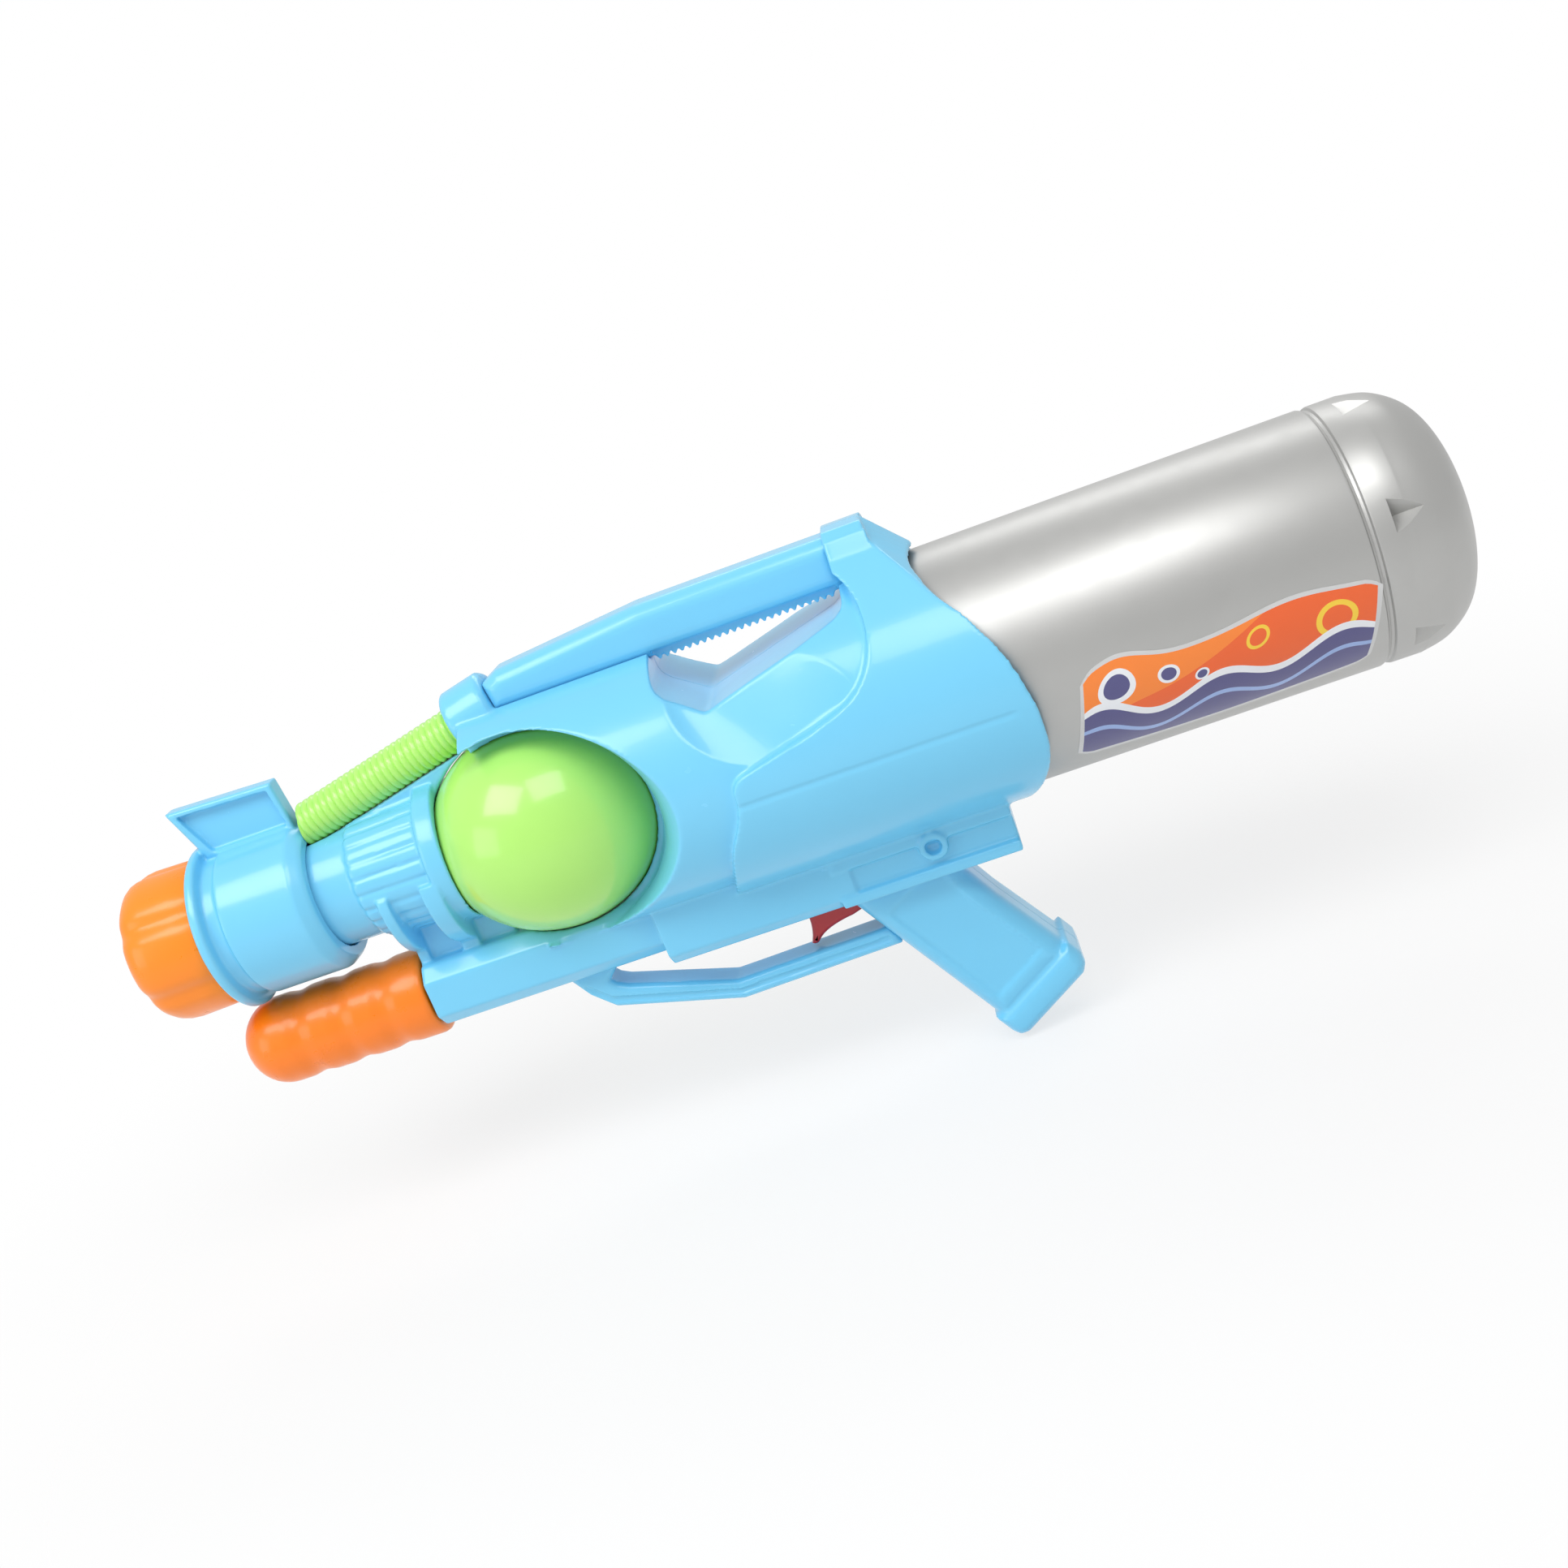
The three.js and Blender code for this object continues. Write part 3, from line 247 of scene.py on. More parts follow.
def bulb_form(name, grow, across=96):
    down = across // 2
    profile = []
    for i in range(down + 1):
        angle = math.pi * i / down
        profile.append((-math.cos(angle), math.sin(angle) if 0 < i < down else 0.0))
    form = turned(name, profile, across)
    half = BULB_HALF + Vector((grow, grow, grow))
    for vertex in form.data.vertices:
        place = vertex.co * 1000 - ORIGIN
        at = Vector((place.x * half.x + BULB_X, place.y * half.y, place.z * half.z + BULB_Z))
        vertex.co = (at + ORIGIN) * 0.001
    return form


def bulb_dish(side, grow):
    rim = BULB_HALF.x + 2 + grow
    floor, flare, squash = 14 - grow, 22, 0.918
    rings = []
    rows = [(0.5, floor)]
    for i in range(17):
        angle = i / 16 * math.pi / 2
        rows.append((rim + flare * (1 - math.cos(angle)), floor + (MID - 8) * math.sin(angle)))
    rows.append((0.5, rows[-1][1]))
    for radius, y in rows:
        ring = []
        for j in range(96):
            angle = 2 * math.pi * j / 96
            ahead, up = radius * math.cos(angle), radius * squash * math.sin(angle)
            ring.append((BULB_X + ahead, y * side, BULB_Z + up))
        rings.append(ring)
    return skin("bulb_dish", rings)


def hood_section(inset):
    radius = HOUSE - inset
    shoulder = Vector((18 - inset, 63.0))
    start = math.atan2(shoulder.y, shoulder.x) - math.acos(min(1, radius / shoulder.length))
    arc = []
    for i in range(97):
        angle = math.pi - start + (math.pi + 2 * start) * i / 96
        arc.append((radius * math.cos(angle), radius * math.sin(angle)))
    crown = [(shoulder.x, shoulder.y), (14.5 - inset, 70 - inset), (10 - inset, 73.4 - inset),
             (0, 74 - inset)]
    return arc + crown + [(-u, v) for u, v in reversed(crown[:-1])]


def house_front(inset):
    front = HANDLE_REAR
    outline = [(front, 79), (front, 66)]
    outline += bend([(front, 59), (front + 12, 46), (front + 6, 22), (front - 12, 15)])
    outline += [(38, 15), (24, 10.4), (0, 4.9)] + bend([(-6, 3.5), (-12, 2), (-12, -4)], 8)
    outline += bend([(-12, -4), (-13, -16), (-20, -20), (-24, -32)])
    outline += bend([(-24, -32), (-28, -44), (-36, -65)])
    return [(u + inset, v - inset) for u, v in outline]


def house_side():
    rear = bend([(83, -65), (107, -46), (108, -22)]) + bend([(108, -22), (108, 22), (98, 57)])
    return house_front(0) + rear + [(98, 57), (90, 79)]


def handle_slot(grow):
    front, rear, top = HANDLE_FRONT, HANDLE_REAR, RAIL_FLOOR + 20 + grow
    outline = [(front - grow, top), (front - grow, 44 - grow), (front + 1 - grow, 40.6 - grow),
               (front + 4, 37.4 - grow), (-14.5, 28.6 - grow), (-13.4, 28 - grow), (-12, 28 - grow),
               (rear - 5, 43.4 - grow), (rear - 1 + grow, 45.6 - grow), (rear + grow, 48),
               (rear + grow, top)]
    return plate(outline, 120)


def handle_scoops(grow):
    front, rear, top = HANDLE_FRONT, HANDLE_REAR, RAIL_FLOOR + 20 + grow
    inner = [(front - grow, 46 - grow), (-26, 26 - grow), (2, 28 - grow), (rear + grow, 48 - grow)]
    outer = [(front - 4.6 - grow, 44), (-31, -3 - grow), (52, -14 - grow), (rear + 12 + grow, 42)]
    inner = [(front - grow, top)] + bend(inner, 30) + [inner[-1], (rear + grow, top)]
    outer = [(front - 4.6 - grow, top)] + bend(outer, 30) + [outer[-1], (rear + 8 + grow, top)]
    depth, rings = 37 - grow, []
    reach = [depth + step for step in (0, 1, 2.5, 4.5, 7, 10, 13.5, 18, 23)]
    for y in [-y for y in reversed(reach)] + reach:
        share = (abs(y) - depth) / 15
        ring = []
        for (u, v), (p, q) in zip(inner, outer):
            ring.append((u + (p - u) * share, y, v + (q - v) * share))
        rings.append(ring)
    return skin("scoops", rings)


def hood_slope(grow):
    crease = [(0, 66.0, 74.2, 0.95), (18, 68.0, 64.2, 1.1), (30, 77.0, 52.2, 1.1), (41, 86.2, 39.8, 0.7),
              (50, 95.6, 27.0, 0.4), (56, 102.8, 14.5, 0.2), (62, 110.0, -2.0, 0.1)]
    rim = HOUSE - WALL + 1.6
    top, drop = 100, 40
    rows = []
    for a, b in zip(crease, crease[1:]):
        rows += [[p + (q - p) * step / 5 for p, q in zip(a, b)] for step in range(5)]
    rows.append(crease[-1])
    rings = []
    for y, x, z, fall in [(-row[0], *row[1:]) for row in reversed(rows)] + rows[1:]:
        x -= grow * 1.3
        low = min(z - 0.5, math.sqrt(max(rim * rim - y * y, 0)))
        edge = x + fall * (z - low)
        end = edge + drop * fall * min(max((abs(y) - 24) / 17, 0.01), 1)
        ring = [(x, top), (x, z), (edge, low), (end, low - drop), (FAR, low - drop), (FAR, top)]
        rings.append([(u, y, v) for u, v in ring])
    return skin("hood_slope", rings)


def along_hose(thing):
    start = (Vector((COLLAR_REAR + FIT, 0, 31.5)) + ORIGIN) * 0.001
    rise = Matrix.Translation(start) @ Matrix.Rotation(-CLIMB, 4, "Y")
    thing.data.transform(rise @ Matrix.Translation(-ORIGIN * 0.001))
    return thing


def grip_point(along, across):
    return (13 + math.cos(RAKE) * along + math.sin(RAKE) * across,
            -81 - math.sin(RAKE) * along + math.cos(RAKE) * across)


def grip(inset):
    outline = [grip_point(-12, inset), grip_point(79 - inset, inset), grip_point(79 - inset, 42 - inset),
               grip_point(40, 40.6 - inset), grip_point(22, 41 - inset), grip_point(4, 44.5 - inset),
               grip_point(-22, 54 - inset)]
    return plate(outline, 35 - 2 * inset, 2 if inset else 9)


def octagon(width, height, z, chamfer):
    w, h = width / 2, height / 2
    return [(-w, z - h + chamfer), (-w + chamfer, z - h), (w - chamfer, z - h), (w, z - h + chamfer),
            (w, z + h - chamfer), (w - chamfer, z + h), (-w + chamfer, z + h), (-w, z + h - chamfer)]


def pump_housing(inset):
    thin = octagon(38 - 2 * inset, 28 - 2 * inset, PUMP_Z, 6)
    thick = octagon(48 - 2 * inset, 33 - 2 * inset, PUMP_Z - 2, 5)
    front = PUMP_FRONT - 1 if inset else PUMP_FRONT
    return join(beam(thin, front, -67 + 2 * inset), beam(thick, -68 + inset, 15))


def ledge(inset):
    if inset:
        return block(8 + inset, 85 - inset, inset - 22.4, 22.4 - inset, LEDGE_LOW + inset, -43)
    low = LEDGE_LOW
    half = [(25, low), (25, low + 4.4), (22.4, low + 5.4), (22.4, low + 15), (25, low + 16), (25, -43)]
    return beam([(-u, v) for u, v in reversed(half)] + half, 8, 85)


def rail_bar(grow):
    outline = [(-100, RAIL_FLOOR), (-100, 62.5), (-93, 66), (-30, RAIL_TOP), (54, RAIL_TOP),
               (54, RAIL_FLOOR)]
    return plate(shrunk(outline, -grow), 24 + 2 * grow, 7, 6)


def socket_ring(grow):
    radius, start, end = 15 + grow, 76 - grow, 96 + grow
    rows = [(start, 0), (start, radius - 1.4), (start + 1.4, radius), (end - 2, radius),
            (end, radius - 2), (end, 0)]
    return along_hose(turned("ring", rows, 72))


def body_outside():
    body = rod(-40, 110, HOUSE, 192)
    join(body, beam(hood_section(0), HANDLE_REAR, 110))
    combine(body, plate(house_side(), 2 * FAR), "INTERSECT")
    cut(body, hood_slope(0))
    join(body, cut(rod(-114, HANDLE_REAR + 12, MID, 192), handle_scoops(0)))
    cut(body, handle_slot(0), bulb_dish(-1, 0), bulb_dish(1, 0))
    cut(body, rail_bar(0.35))
    join(body, socket_ring(0))
    flange = [(FLUTE_REAR - 1, 0), (FLUTE_REAR - 1, 30), (FLUTE_REAR, 31), (FLUTE_REAR + 8, 31),
              (FLUTE_REAR + 8, 0)]
    join(body, turned("flange", flange, 96), rod(COLLAR_FRONT + 8, BULB_X, NECK, 96))
    flutes = []
    count, groove = 24, 1.5
    for x, radius in ((FLUTE_REAR - 34, 25.4), (FLUTE_REAR - 33, 26.8), (FLUTE_REAR + 1, 28.2)):
        ring = []
        for j in range(count * 12):
            angle = 2 * math.pi * j / (count * 12)
            r = radius - groove * max(0.0, math.cos(count * angle)) ** 4
            ring.append((x, r * math.cos(angle), r * math.sin(angle)))
        flutes.append(ring)
    join(body, skin("flutes", flutes))
    web_front, web_rear = COLLAR_REAR - 3.7, COLLAR_REAR + FIT + 88
    web = [(web_front, NECK - 4), (web_rear, NECK - 4), (web_rear, 31.5 + 80 * math.tan(CLIMB)),
           (web_front, 31.5)]
    join(body, plate(web, 10))
    foot, sunk = PUMP_Z + 12, -8
    small = (PUMP_FRONT, PUMP_FRONT + 5)
    large = (FLUTE_REAR - 7, FLUTE_REAR + 1)
    saddles = join(rod(*small, 29, 96, z=sunk), rod(*large, 31, 96, z=sunk))
    combine(saddles, block(-FAR, 0, -FAR, FAR, foot, -4), "INTERSECT")
    join(saddles, block(*small, -10, 10, foot, -27), block(*large, -11, 11, foot, -27))
    join(saddles, block(PUMP_FRONT + 4, BULB_X - 30, -7, 7, foot, -22))
    join(body, saddles, pump_housing(0), ledge(0), grip(0))
    butt = [grip_point(74, -1.6), grip_point(83, -1.6), grip_point(87, -0.6), grip_point(89, 3),
            grip_point(89, 38), grip_point(86.5, 41.6), grip_point(82, 43.6), grip_point(74, 43.6)]
    join(body, plate(butt, 38.2, 6))
    for side in (-1, 1):
        panel = [grip_point(8, 7), grip_point(68, 7), grip_point(68, 35), grip_point(30, 33.5),
                 grip_point(8, 36)]
        cut(body, plate(panel, 4, 1.2, y=side * 18.2))
        cut(body, plate([(-18, -9), (100, -9), (100, -7), (-18, -7)], 3, y=side * 57.6))
        reach = sorted((side * 22, side * 26.4))
        boss = cross_rod(51, LEDGE_LOW + 14, reach[0], reach[1], 6)
        join(body, cut(boss, cross_rod(51, LEDGE_LOW + 14, -FAR, FAR, 3.5)))
    return body


def body_hollow():
    front = cut(rod(BULB_X, HANDLE_REAR, MID - WALL, 96), block(-FAR, BULB_X + 30, -FAR, FAR, -FAR, FAR))
    rear = cut(beam(hood_section(WALL), HANDLE_REAR + WALL, FAR), hood_slope(WALL))
    join(rear, rod(-6, FAR, HOUSE - WALL, 128))
    combine(rear, plate(house_front(WALL) + [(2 * FAR, -80), (2 * FAR, 80)], 2 * FAR), "INTERSECT")
    join(rear, rod(-6, FAR, MID - WALL, 128))
    rooms = cut(join(front, rear), handle_scoops(WALL), handle_slot(WALL))
    join(rooms, pump_housing(WALL), ledge(WALL), grip(WALL))
    cut(rooms, rail_bar(WALL), bulb_form("keep", 0.5 + WALL))
    return cut(rooms, bulb_dish(-1, WALL), bulb_dish(1, WALL))


SCREWS = [(-66, 43.8, 18), (-42, 20, 30), (62, 62, 6), (-24, -37, 30), (76, -65.5, 16), (44, -112, 10),
          (68, -141, 10), (-160, PUMP_Z + 9.4, 12)]
voxel = 0.85
loose = 0.5
outside = body_outside()
hollow = body_hollow()
posts = cross_rod(SCREWS[0][0], SCREWS[0][1], -FAR, FAR, 4.2)
join(posts, *[cross_rod(x, z, -FAR, FAR, 4.2) for x, z, _ in SCREWS[1:]])
wall = cut(block(18.3, 20.8, -MID, MID, -34, 34), rod(17, 22, 22.3 + loose))
for x in (27, 45):
    join(wall, block(x, x + WALL, -17.5, 17.5, -93, -80))
for side in (-1, 1):
    reach = sorted((side * 24, side * 5.2))
    join(wall, cross_rod(PIVOT_X, PIVOT_Z, reach[0], reach[1], 5))
for x in (-150, -50):
    join(wall, block(x, x + WALL, -19, 19, PUMP_Z - 14, PUMP_Z + 14))
cut(wall, rod(19, 56, 7.8 + loose, z=VALVE_Z), cross_rod(PIVOT_X, PIVOT_Z, -13.9, 13.9, 2.3 + loose))
inner = join(posts, wall)
cut(hollow, inner)
body = cut(outside, hollow)
cut(body, rod(-FAR, BULB_X, NECK - WALL, 96), bulb_form("room", 0.5))
cut(body, rod(BULB_X - 60, BULB_X + 60, 7.1 + loose, z=BULB_Z))
cut(body, along_hose(rod(-20, 80.5, 9.2 + loose)))
cut(body, block(-16, 23, -5.1, 5.1, -90, -69), rod(-170, -35.5, 8.1 + loose, z=CYLINDER_Z))
for x, z, seat in SCREWS:
    cut(body, cross_rod(x, z, seat - 18.5, seat + 1, 1.7 + loose), cross_rod(x, z, seat - 0.2, FAR, 3.7))
soften(body, voxel, 4)
halves = []
for name, low, high in (("left_body_shell", -FAR, -0.15), ("right_body_shell", 0.15, FAR)):
    half = body.copy()
    half.data = body.data.copy()
    half.name = name + "_moulding"
    bpy.context.scene.collection.objects.link(half)
    combine(half, block(-FAR, FAR, low, high, -FAR, FAR), "INTERSECT")
    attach(half, "body")
    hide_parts(name)
    halves.append(half)
bpy.data.objects.remove(body)


def linear(colour):
    found = []
    for value in colour:
        share = value / 255
        found.append(share / 12.92 if share <= 0.04045 else ((share + 0.055) / 1.055) ** 2.4)
    return (*found, 1.0)


def moulded_surface():
    group = bpy.data.node_groups.new("moulded surface", "ShaderNodeTree")
    face = group.interface
    for name, kind, value in (("Pale", "NodeSocketColor", None), ("Deep", "NodeSocketColor", None),
                              ("Gloss", "NodeSocketFloat", 0.25), ("Grain", "NodeSocketFloat", 0.03)):
        socket = face.new_socket(name, in_out="INPUT", socket_type=kind)
        if value is not None:
            socket.default_value = value
    face.new_socket("Colour", in_out="OUTPUT", socket_type="NodeSocketColor")
    face.new_socket("Roughness", in_out="OUTPUT", socket_type="NodeSocketFloat")
    face.new_socket("Normal", in_out="OUTPUT", socket_type="NodeSocketVector")
    add = group.nodes.new
    link = group.links.new
    given, sent = add("NodeGroupInput"), add("NodeGroupOutput")
    place = add("ShaderNodeTexCoord")
    flow = add("ShaderNodeTexNoise")
    flow.inputs["Scale"].default_value = 9
    flow.inputs["Detail"].default_value = 2
    link(place.outputs["Object"], flow.inputs["Vector"])
    mix = add("ShaderNodeMix")
    mix.data_type = "RGBA"
    link(flow.outputs["Fac"], mix.inputs["Factor"])
    link(given.outputs["Pale"], mix.inputs["A"])
    link(given.outputs["Deep"], mix.inputs["B"])
    link(mix.outputs["Result"], sent.inputs["Colour"])
    rub = add("ShaderNodeTexNoise")
    rub.inputs["Scale"].default_value = 140
    rub.inputs["Detail"].default_value = 4
    link(place.outputs["Object"], rub.inputs["Vector"])
    share = add("ShaderNodeMath")
    share.operation = "MULTIPLY_ADD"
    share.inputs[1].default_value = 0.1
    link(rub.outputs["Fac"], share.inputs[0])
    link(given.outputs["Gloss"], share.inputs[2])
    link(share.outputs[0], sent.inputs["Roughness"])
    grain = add("ShaderNodeTexNoise")
    grain.inputs["Scale"].default_value = 900
    link(place.outputs["Object"], grain.inputs["Vector"])
    bump = add("ShaderNodeBump")
    bump.inputs["Distance"].default_value = 0.0002
    link(given.outputs["Grain"], bump.inputs["Strength"])
    link(grain.outputs["Fac"], bump.inputs["Height"])
    link(bump.outputs["Normal"], sent.inputs["Normal"])
    return group


surface = moulded_surface()


def moulded(name, pale, deep, gloss, grain=0.03, coat=0.0, glow=0.0, metal=0.0):
    made = bpy.data.materials.new(name)
    made.use_nodes = True
    tree = made.node_tree
    shader = tree.nodes["Principled BSDF"]
    effect = tree.nodes.new("ShaderNodeGroup")
    effect.node_tree = surface
    effect.inputs["Pale"].default_value = linear(pale)
    effect.inputs["Deep"].default_value = linear(deep)
    effect.inputs["Gloss"].default_value = gloss
    effect.inputs["Grain"].default_value = grain
    tree.links.new(effect.outputs["Colour"], shader.inputs["Base Color"])
    tree.links.new(effect.outputs["Roughness"], shader.inputs["Roughness"])
    tree.links.new(effect.outputs["Normal"], shader.inputs["Normal"])
    shader.inputs["Coat Weight"].default_value = coat
    shader.inputs["Coat Roughness"].default_value = 0.08
    shader.inputs["Metallic"].default_value = metal
    shader.inputs["Subsurface Weight"].default_value = glow
    shader.inputs["Subsurface Radius"].default_value = (0.004, 0.004, 0.004)
    return made


def dress(thing, material, sharp=None):
    thing.data.materials.clear()
    thing.data.materials.append(material)
    for face in thing.data.polygons:
        face.use_smooth = True
        face.material_index = 0
    if sharp:
        thing.data.set_sharp_from_angle(angle=math.radians(sharp))
    return thing


sky_blue = moulded("sky blue plastic", (122, 209, 246), (112, 201, 240), 0.2, coat=0.3)
for half in halves:
    dress(half, sky_blue)

# Carry rail
# One blue moulding over the opening, hollow from below, with a comb of teeth along its underside for
# the fingers. It sits on the body between the socket ring of the hose and the hood.
rail = rail_bar(0)
teeth = 24
pitch = 77 / teeth
comb = [(HANDLE_FRONT + FIT, RAIL_FLOOR + 1), (HANDLE_REAR - FIT, RAIL_FLOOR + 1)]
for i in range(teeth, 0, -1):
    x = HANDLE_FRONT + 2 + pitch * (i - 1)
    for share, low in ((0.95, 0), (0.62, 2), (0.38, 2), (0.05, 0)):
        comb.append((x + pitch * share, RAIL_FLOOR - low))
for side in (-1, 1):
    y = side * 13
    cut(rail, block(HANDLE_FRONT + 1, HANDLE_REAR - 1, y - 6, y + 6, RAIL_FLOOR - 1, RAIL_FLOOR + 3))
join(rail, plate(comb, 14))
cut(rail, socket_ring(FIT), block(-92, -39, -8, 8, RAIL_FLOOR - 1, RAIL_FLOOR + 10))
soften(rail, 0.5, 3)
rail.name = "carry_rail_moulding"
dress(rail, sky_blue)
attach(rail, "body")
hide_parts("carry_rail")

# Hand guard
# A blue bar from the pump tube back to the grip, with a low ridge along each side, held between the
# body halves.
outline = [(-120, -65), (-117, -69), (-110, -80), (-101, -88.6), (-48, -103.5), (24, -102), (24, -93),
           (-48, -94.5), (-93, -80.6), (-97, -78.5), (-99, -76), (-88, -65)]
bar = plate(outline, 18, 3)
ridge = [(-112, -76), (-102, -86), (-48, -100.6), (20, -99.1), (20, -96.4), (-48, -97.9), (-100.6, -83.3),
         (-109.6, -74.6)]
for side in (-1, 1):
    cut(bar, plate(ridge, 2.4, 0.5, y=side * 9))
cut(bar, pump_housing(-FIT), grip(-FIT))
soften(bar, 0.6, 3)
bar.name = "hand_guard_moulding"
dress(bar, sky_blue)
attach(bar, "body")
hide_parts("hand_guard")

# Front collar
# A blue moulded ring with a wide flange and a sight fin, pushed over the end of the barrel neck. The
# fin has a thin rim round a sunk panel on both sides, left plain.
inside = 30.5
front, rear = COLLAR_FRONT - 3.5, COLLAR_REAR - 4
ring = [(front, 28.5), (front, 35.4), (front + 1.1, 36.5), (front + 3.6, 36.5), (front + 4.6, 35.4),
        (front + 5.2, 31.3), (front + 11, 31.3), (front + 12.2, 33.5), (rear - 6.5, 33.5),
        (rear - 5.2, 33.2), (rear - 1.4, 30.8), (rear, 29.4), (rear, 25.2), (front + 26, 25.2),
        (front + 26, 28), (rear - 9, 28), (rear - 9, inside), (front + 13, inside), (front + 11, 28.5),
        (front, 28.5)]
collar = turned("front_collar_moulding", ring, 128)


def fin_outline(inset):
    return [(COLLAR_FRONT - 6 + inset * 1.6, 55.5 - inset), (COLLAR_REAR - 9 - inset, 53.5 - inset),
            (COLLAR_REAR - 7 - inset, 31.5 + inset), (COLLAR_FRONT + 3 + inset * 1.4, 31.5 + inset)]


fin = plate(fin_outline(0), 10, 1.5)
for side in (-1, 1):
    cut(fin, plate(fin_outline(2.6), 8, 0.6, y=side * 5.4))
cut(fin, rod(COLLAR_FRONT + 12, COLLAR_REAR, inside + 0.5, 96))
join(collar, fin)
soften(collar, 0.6, 3)
dress(collar, sky_blue)
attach(collar, "body")
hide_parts("front_collar")

# Nozzle cap
# An orange cap with six soft lobes for the fingers and a rounded front edge. It is hollow behind and
# turns on the hub of the seat.
orange = moulded("orange plastic", (255, 146, 26), (252, 134, 18), 0.24, coat=0.12)
NOZZLE_FRONT = COLLAR_FRONT - 40
LOBES, GROOVE_TURN = 6, math.radians(25)
around = LOBES * 36
rings = []
for x, radius, depth in ((0, 23, 1.2), (0.5, 25.6, 1.9), (1.6, 28, 2.5), (3.4, 30.1, 2.9), (6, 31.7, 3.1),
                         (9, 32.6, 3.2), (13, 33, 3.2), (24, 32.7, 3.2), (38.6, 32.1, 3.1),
                         (39.7, 31.2, 3)):
    ring = []
    for j in range(around):
        angle = 2 * math.pi * j / around
        r = radius - 0.55 * depth * (0.5 + 0.5 * math.cos(LOBES * (angle - GROOVE_TURN))) ** 6
        ring.append((NOZZLE_FRONT + x, r * math.cos(angle), r * math.sin(angle)))
    rings.append(ring)
nozzle = skin("nozzle_cap_moulding", rings)
back = COLLAR_FRONT + 1
hollow = [(NOZZLE_FRONT + 7, 11.3), (NOZZLE_FRONT + 7, 22), (NOZZLE_FRONT + 12, 27), (back, 27),
          (back, 11.3), (NOZZLE_FRONT + 7, 11.3)]
mouth = [(NOZZLE_FRONT - 1, 0), (NOZZLE_FRONT - 1, 10.4), (NOZZLE_FRONT + 0.6, 9),
         (NOZZLE_FRONT + 3, 5.4), (NOZZLE_FRONT + 20, 5), (NOZZLE_FRONT + 20, 0)]
cut(nozzle, turned("hollow", hollow, 64), rod(NOZZLE_FRONT + 5, back, 8.5), turned("mouth", mouth, 64))
dress(nozzle, orange, 50)
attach(nozzle, "nozzle")
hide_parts("nozzle_cap")

# Ribbed hose
# A soft lime hose with round ribs, which runs from the collar up to the socket ring in front of the
# carry rail.
lime = moulded("lime green plastic", (182, 240, 118), (172, 232, 108), 0.16, coat=0.4, glow=0.05)
pitch = 80 / 26
ribs = [(-4 * pitch, 7.5), (-4 * pitch, 8.5)]
for i in range(-4, 26):
    for step in range(8):
        t = step / 8
        ribs.append((pitch * (i + t), 8.5 + 0.85 * math.sin(math.pi * t) ** 0.7))
ribs += [(80, 8.5), (80, 7.5), ribs[0]]
ribbed = along_hose(turned("ribbed_hose_tube", ribs, 72))
cut(ribbed, block(-FAR, COLLAR_REAR - 3.7, -FAR, FAR, -FAR, FAR))
dress(ribbed, lime, 70)
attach(ribbed, "body")
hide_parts("ribbed_hose")

# Pressure bulb
# A blow-moulded lime egg that stores water under pressure. Short necks on the axis take the hoses, and
# the body halves close round it, so that it shows on both sides.
bulb = bulb_form("pressure_bulb_moulding", 0, 128)
reach = 59.0
join(bulb, rod(BULB_X - reach, BULB_X + reach, 6.8, 48, z=BULB_Z))
cut(bulb, join(bulb_form("inside", -2, 64), rod(BULB_X - FAR, BULB_X + FAR, 4.8, 32, z=BULB_Z)))
dress(bulb, lime, 40)
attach(bulb, "body")
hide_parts("pressure_bulb")

# Pump handle
# An orange moulded grab with four soft bulges and a domed front end, fixed on the pump rod that slides
# out of the tube under the barrel.
front, rear = PUMP_FRONT - 91, PUMP_FRONT - 1
outline = [(front, 0)]
for i in range(1, 13):
    angle = i / 13 * math.pi / 2
    outline.append((front + 18 * (1 - math.cos(angle)), 19.3 * math.sin(angle)))
pitch = 72 / 3.6
for i in range(61):
    x = front + 18 + i
    waist = 0.0
    for k in range(3):
        away = abs(x - (front + 18 + pitch * (k + 0.62)))
        waist = max(waist, math.cos(min(away / 7, 1) * math.pi / 2) ** 2)
    outline.append((x, 19.3 - 1.0 * waist))
outline += [(rear - 3, 19.3), (rear - 1.2, 18.8), (rear - 0.3, 17.8), (rear, 16.5), (rear, 0)]
tangerine = moulded("tangerine plastic", (255, 136, 20), (253, 124, 12), 0.24, coat=0.15)
grab = turned("pump_handle_moulding", outline, 96, z=PUMP_Z - 1.3)
cut(grab, rod(rear - 30.3, rear + 1, 2.9, 32, z=CYLINDER_Z))
dress(grab, tangerine, 45)
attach(grab, "pump")
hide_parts("pump_handle")

# Trigger
# A red moulded lever on a steel pin. Its curved blade is for one finger, and its web pushes the valve
# plunger.
red = moulded("red plastic", (190, 38, 44), (176, 30, 38), 0.26, coat=0.2)
tip = 13.2
outline = bend([(-11, -73), (-9, -83), (-13, -91)], 10)
outline += bend([(-13, -91), (-10.5, -92.5), (-9, -90.5)], 6)
outline += bend([(-9, -90.5), (-5, -86), (8, -84.5)], 8)
outline += [(8, -84.5), (tip, -83), (tip, -75), (-2.5, -62)]
outline += bend([(-2.5, -62), (-7, -57), (-11.5, -62)], 8)[1:] + [(-11.5, -62)]
lever = plate(outline, 9, 2.2, 4)
cut(lever, cross_rod(PIVOT_X, PIVOT_Z, -FAR, FAR, 2.3))
lever.name = "trigger_moulding"
dress(lever, red, 40)
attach(lever, "trigger_lever")
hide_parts("trigger")

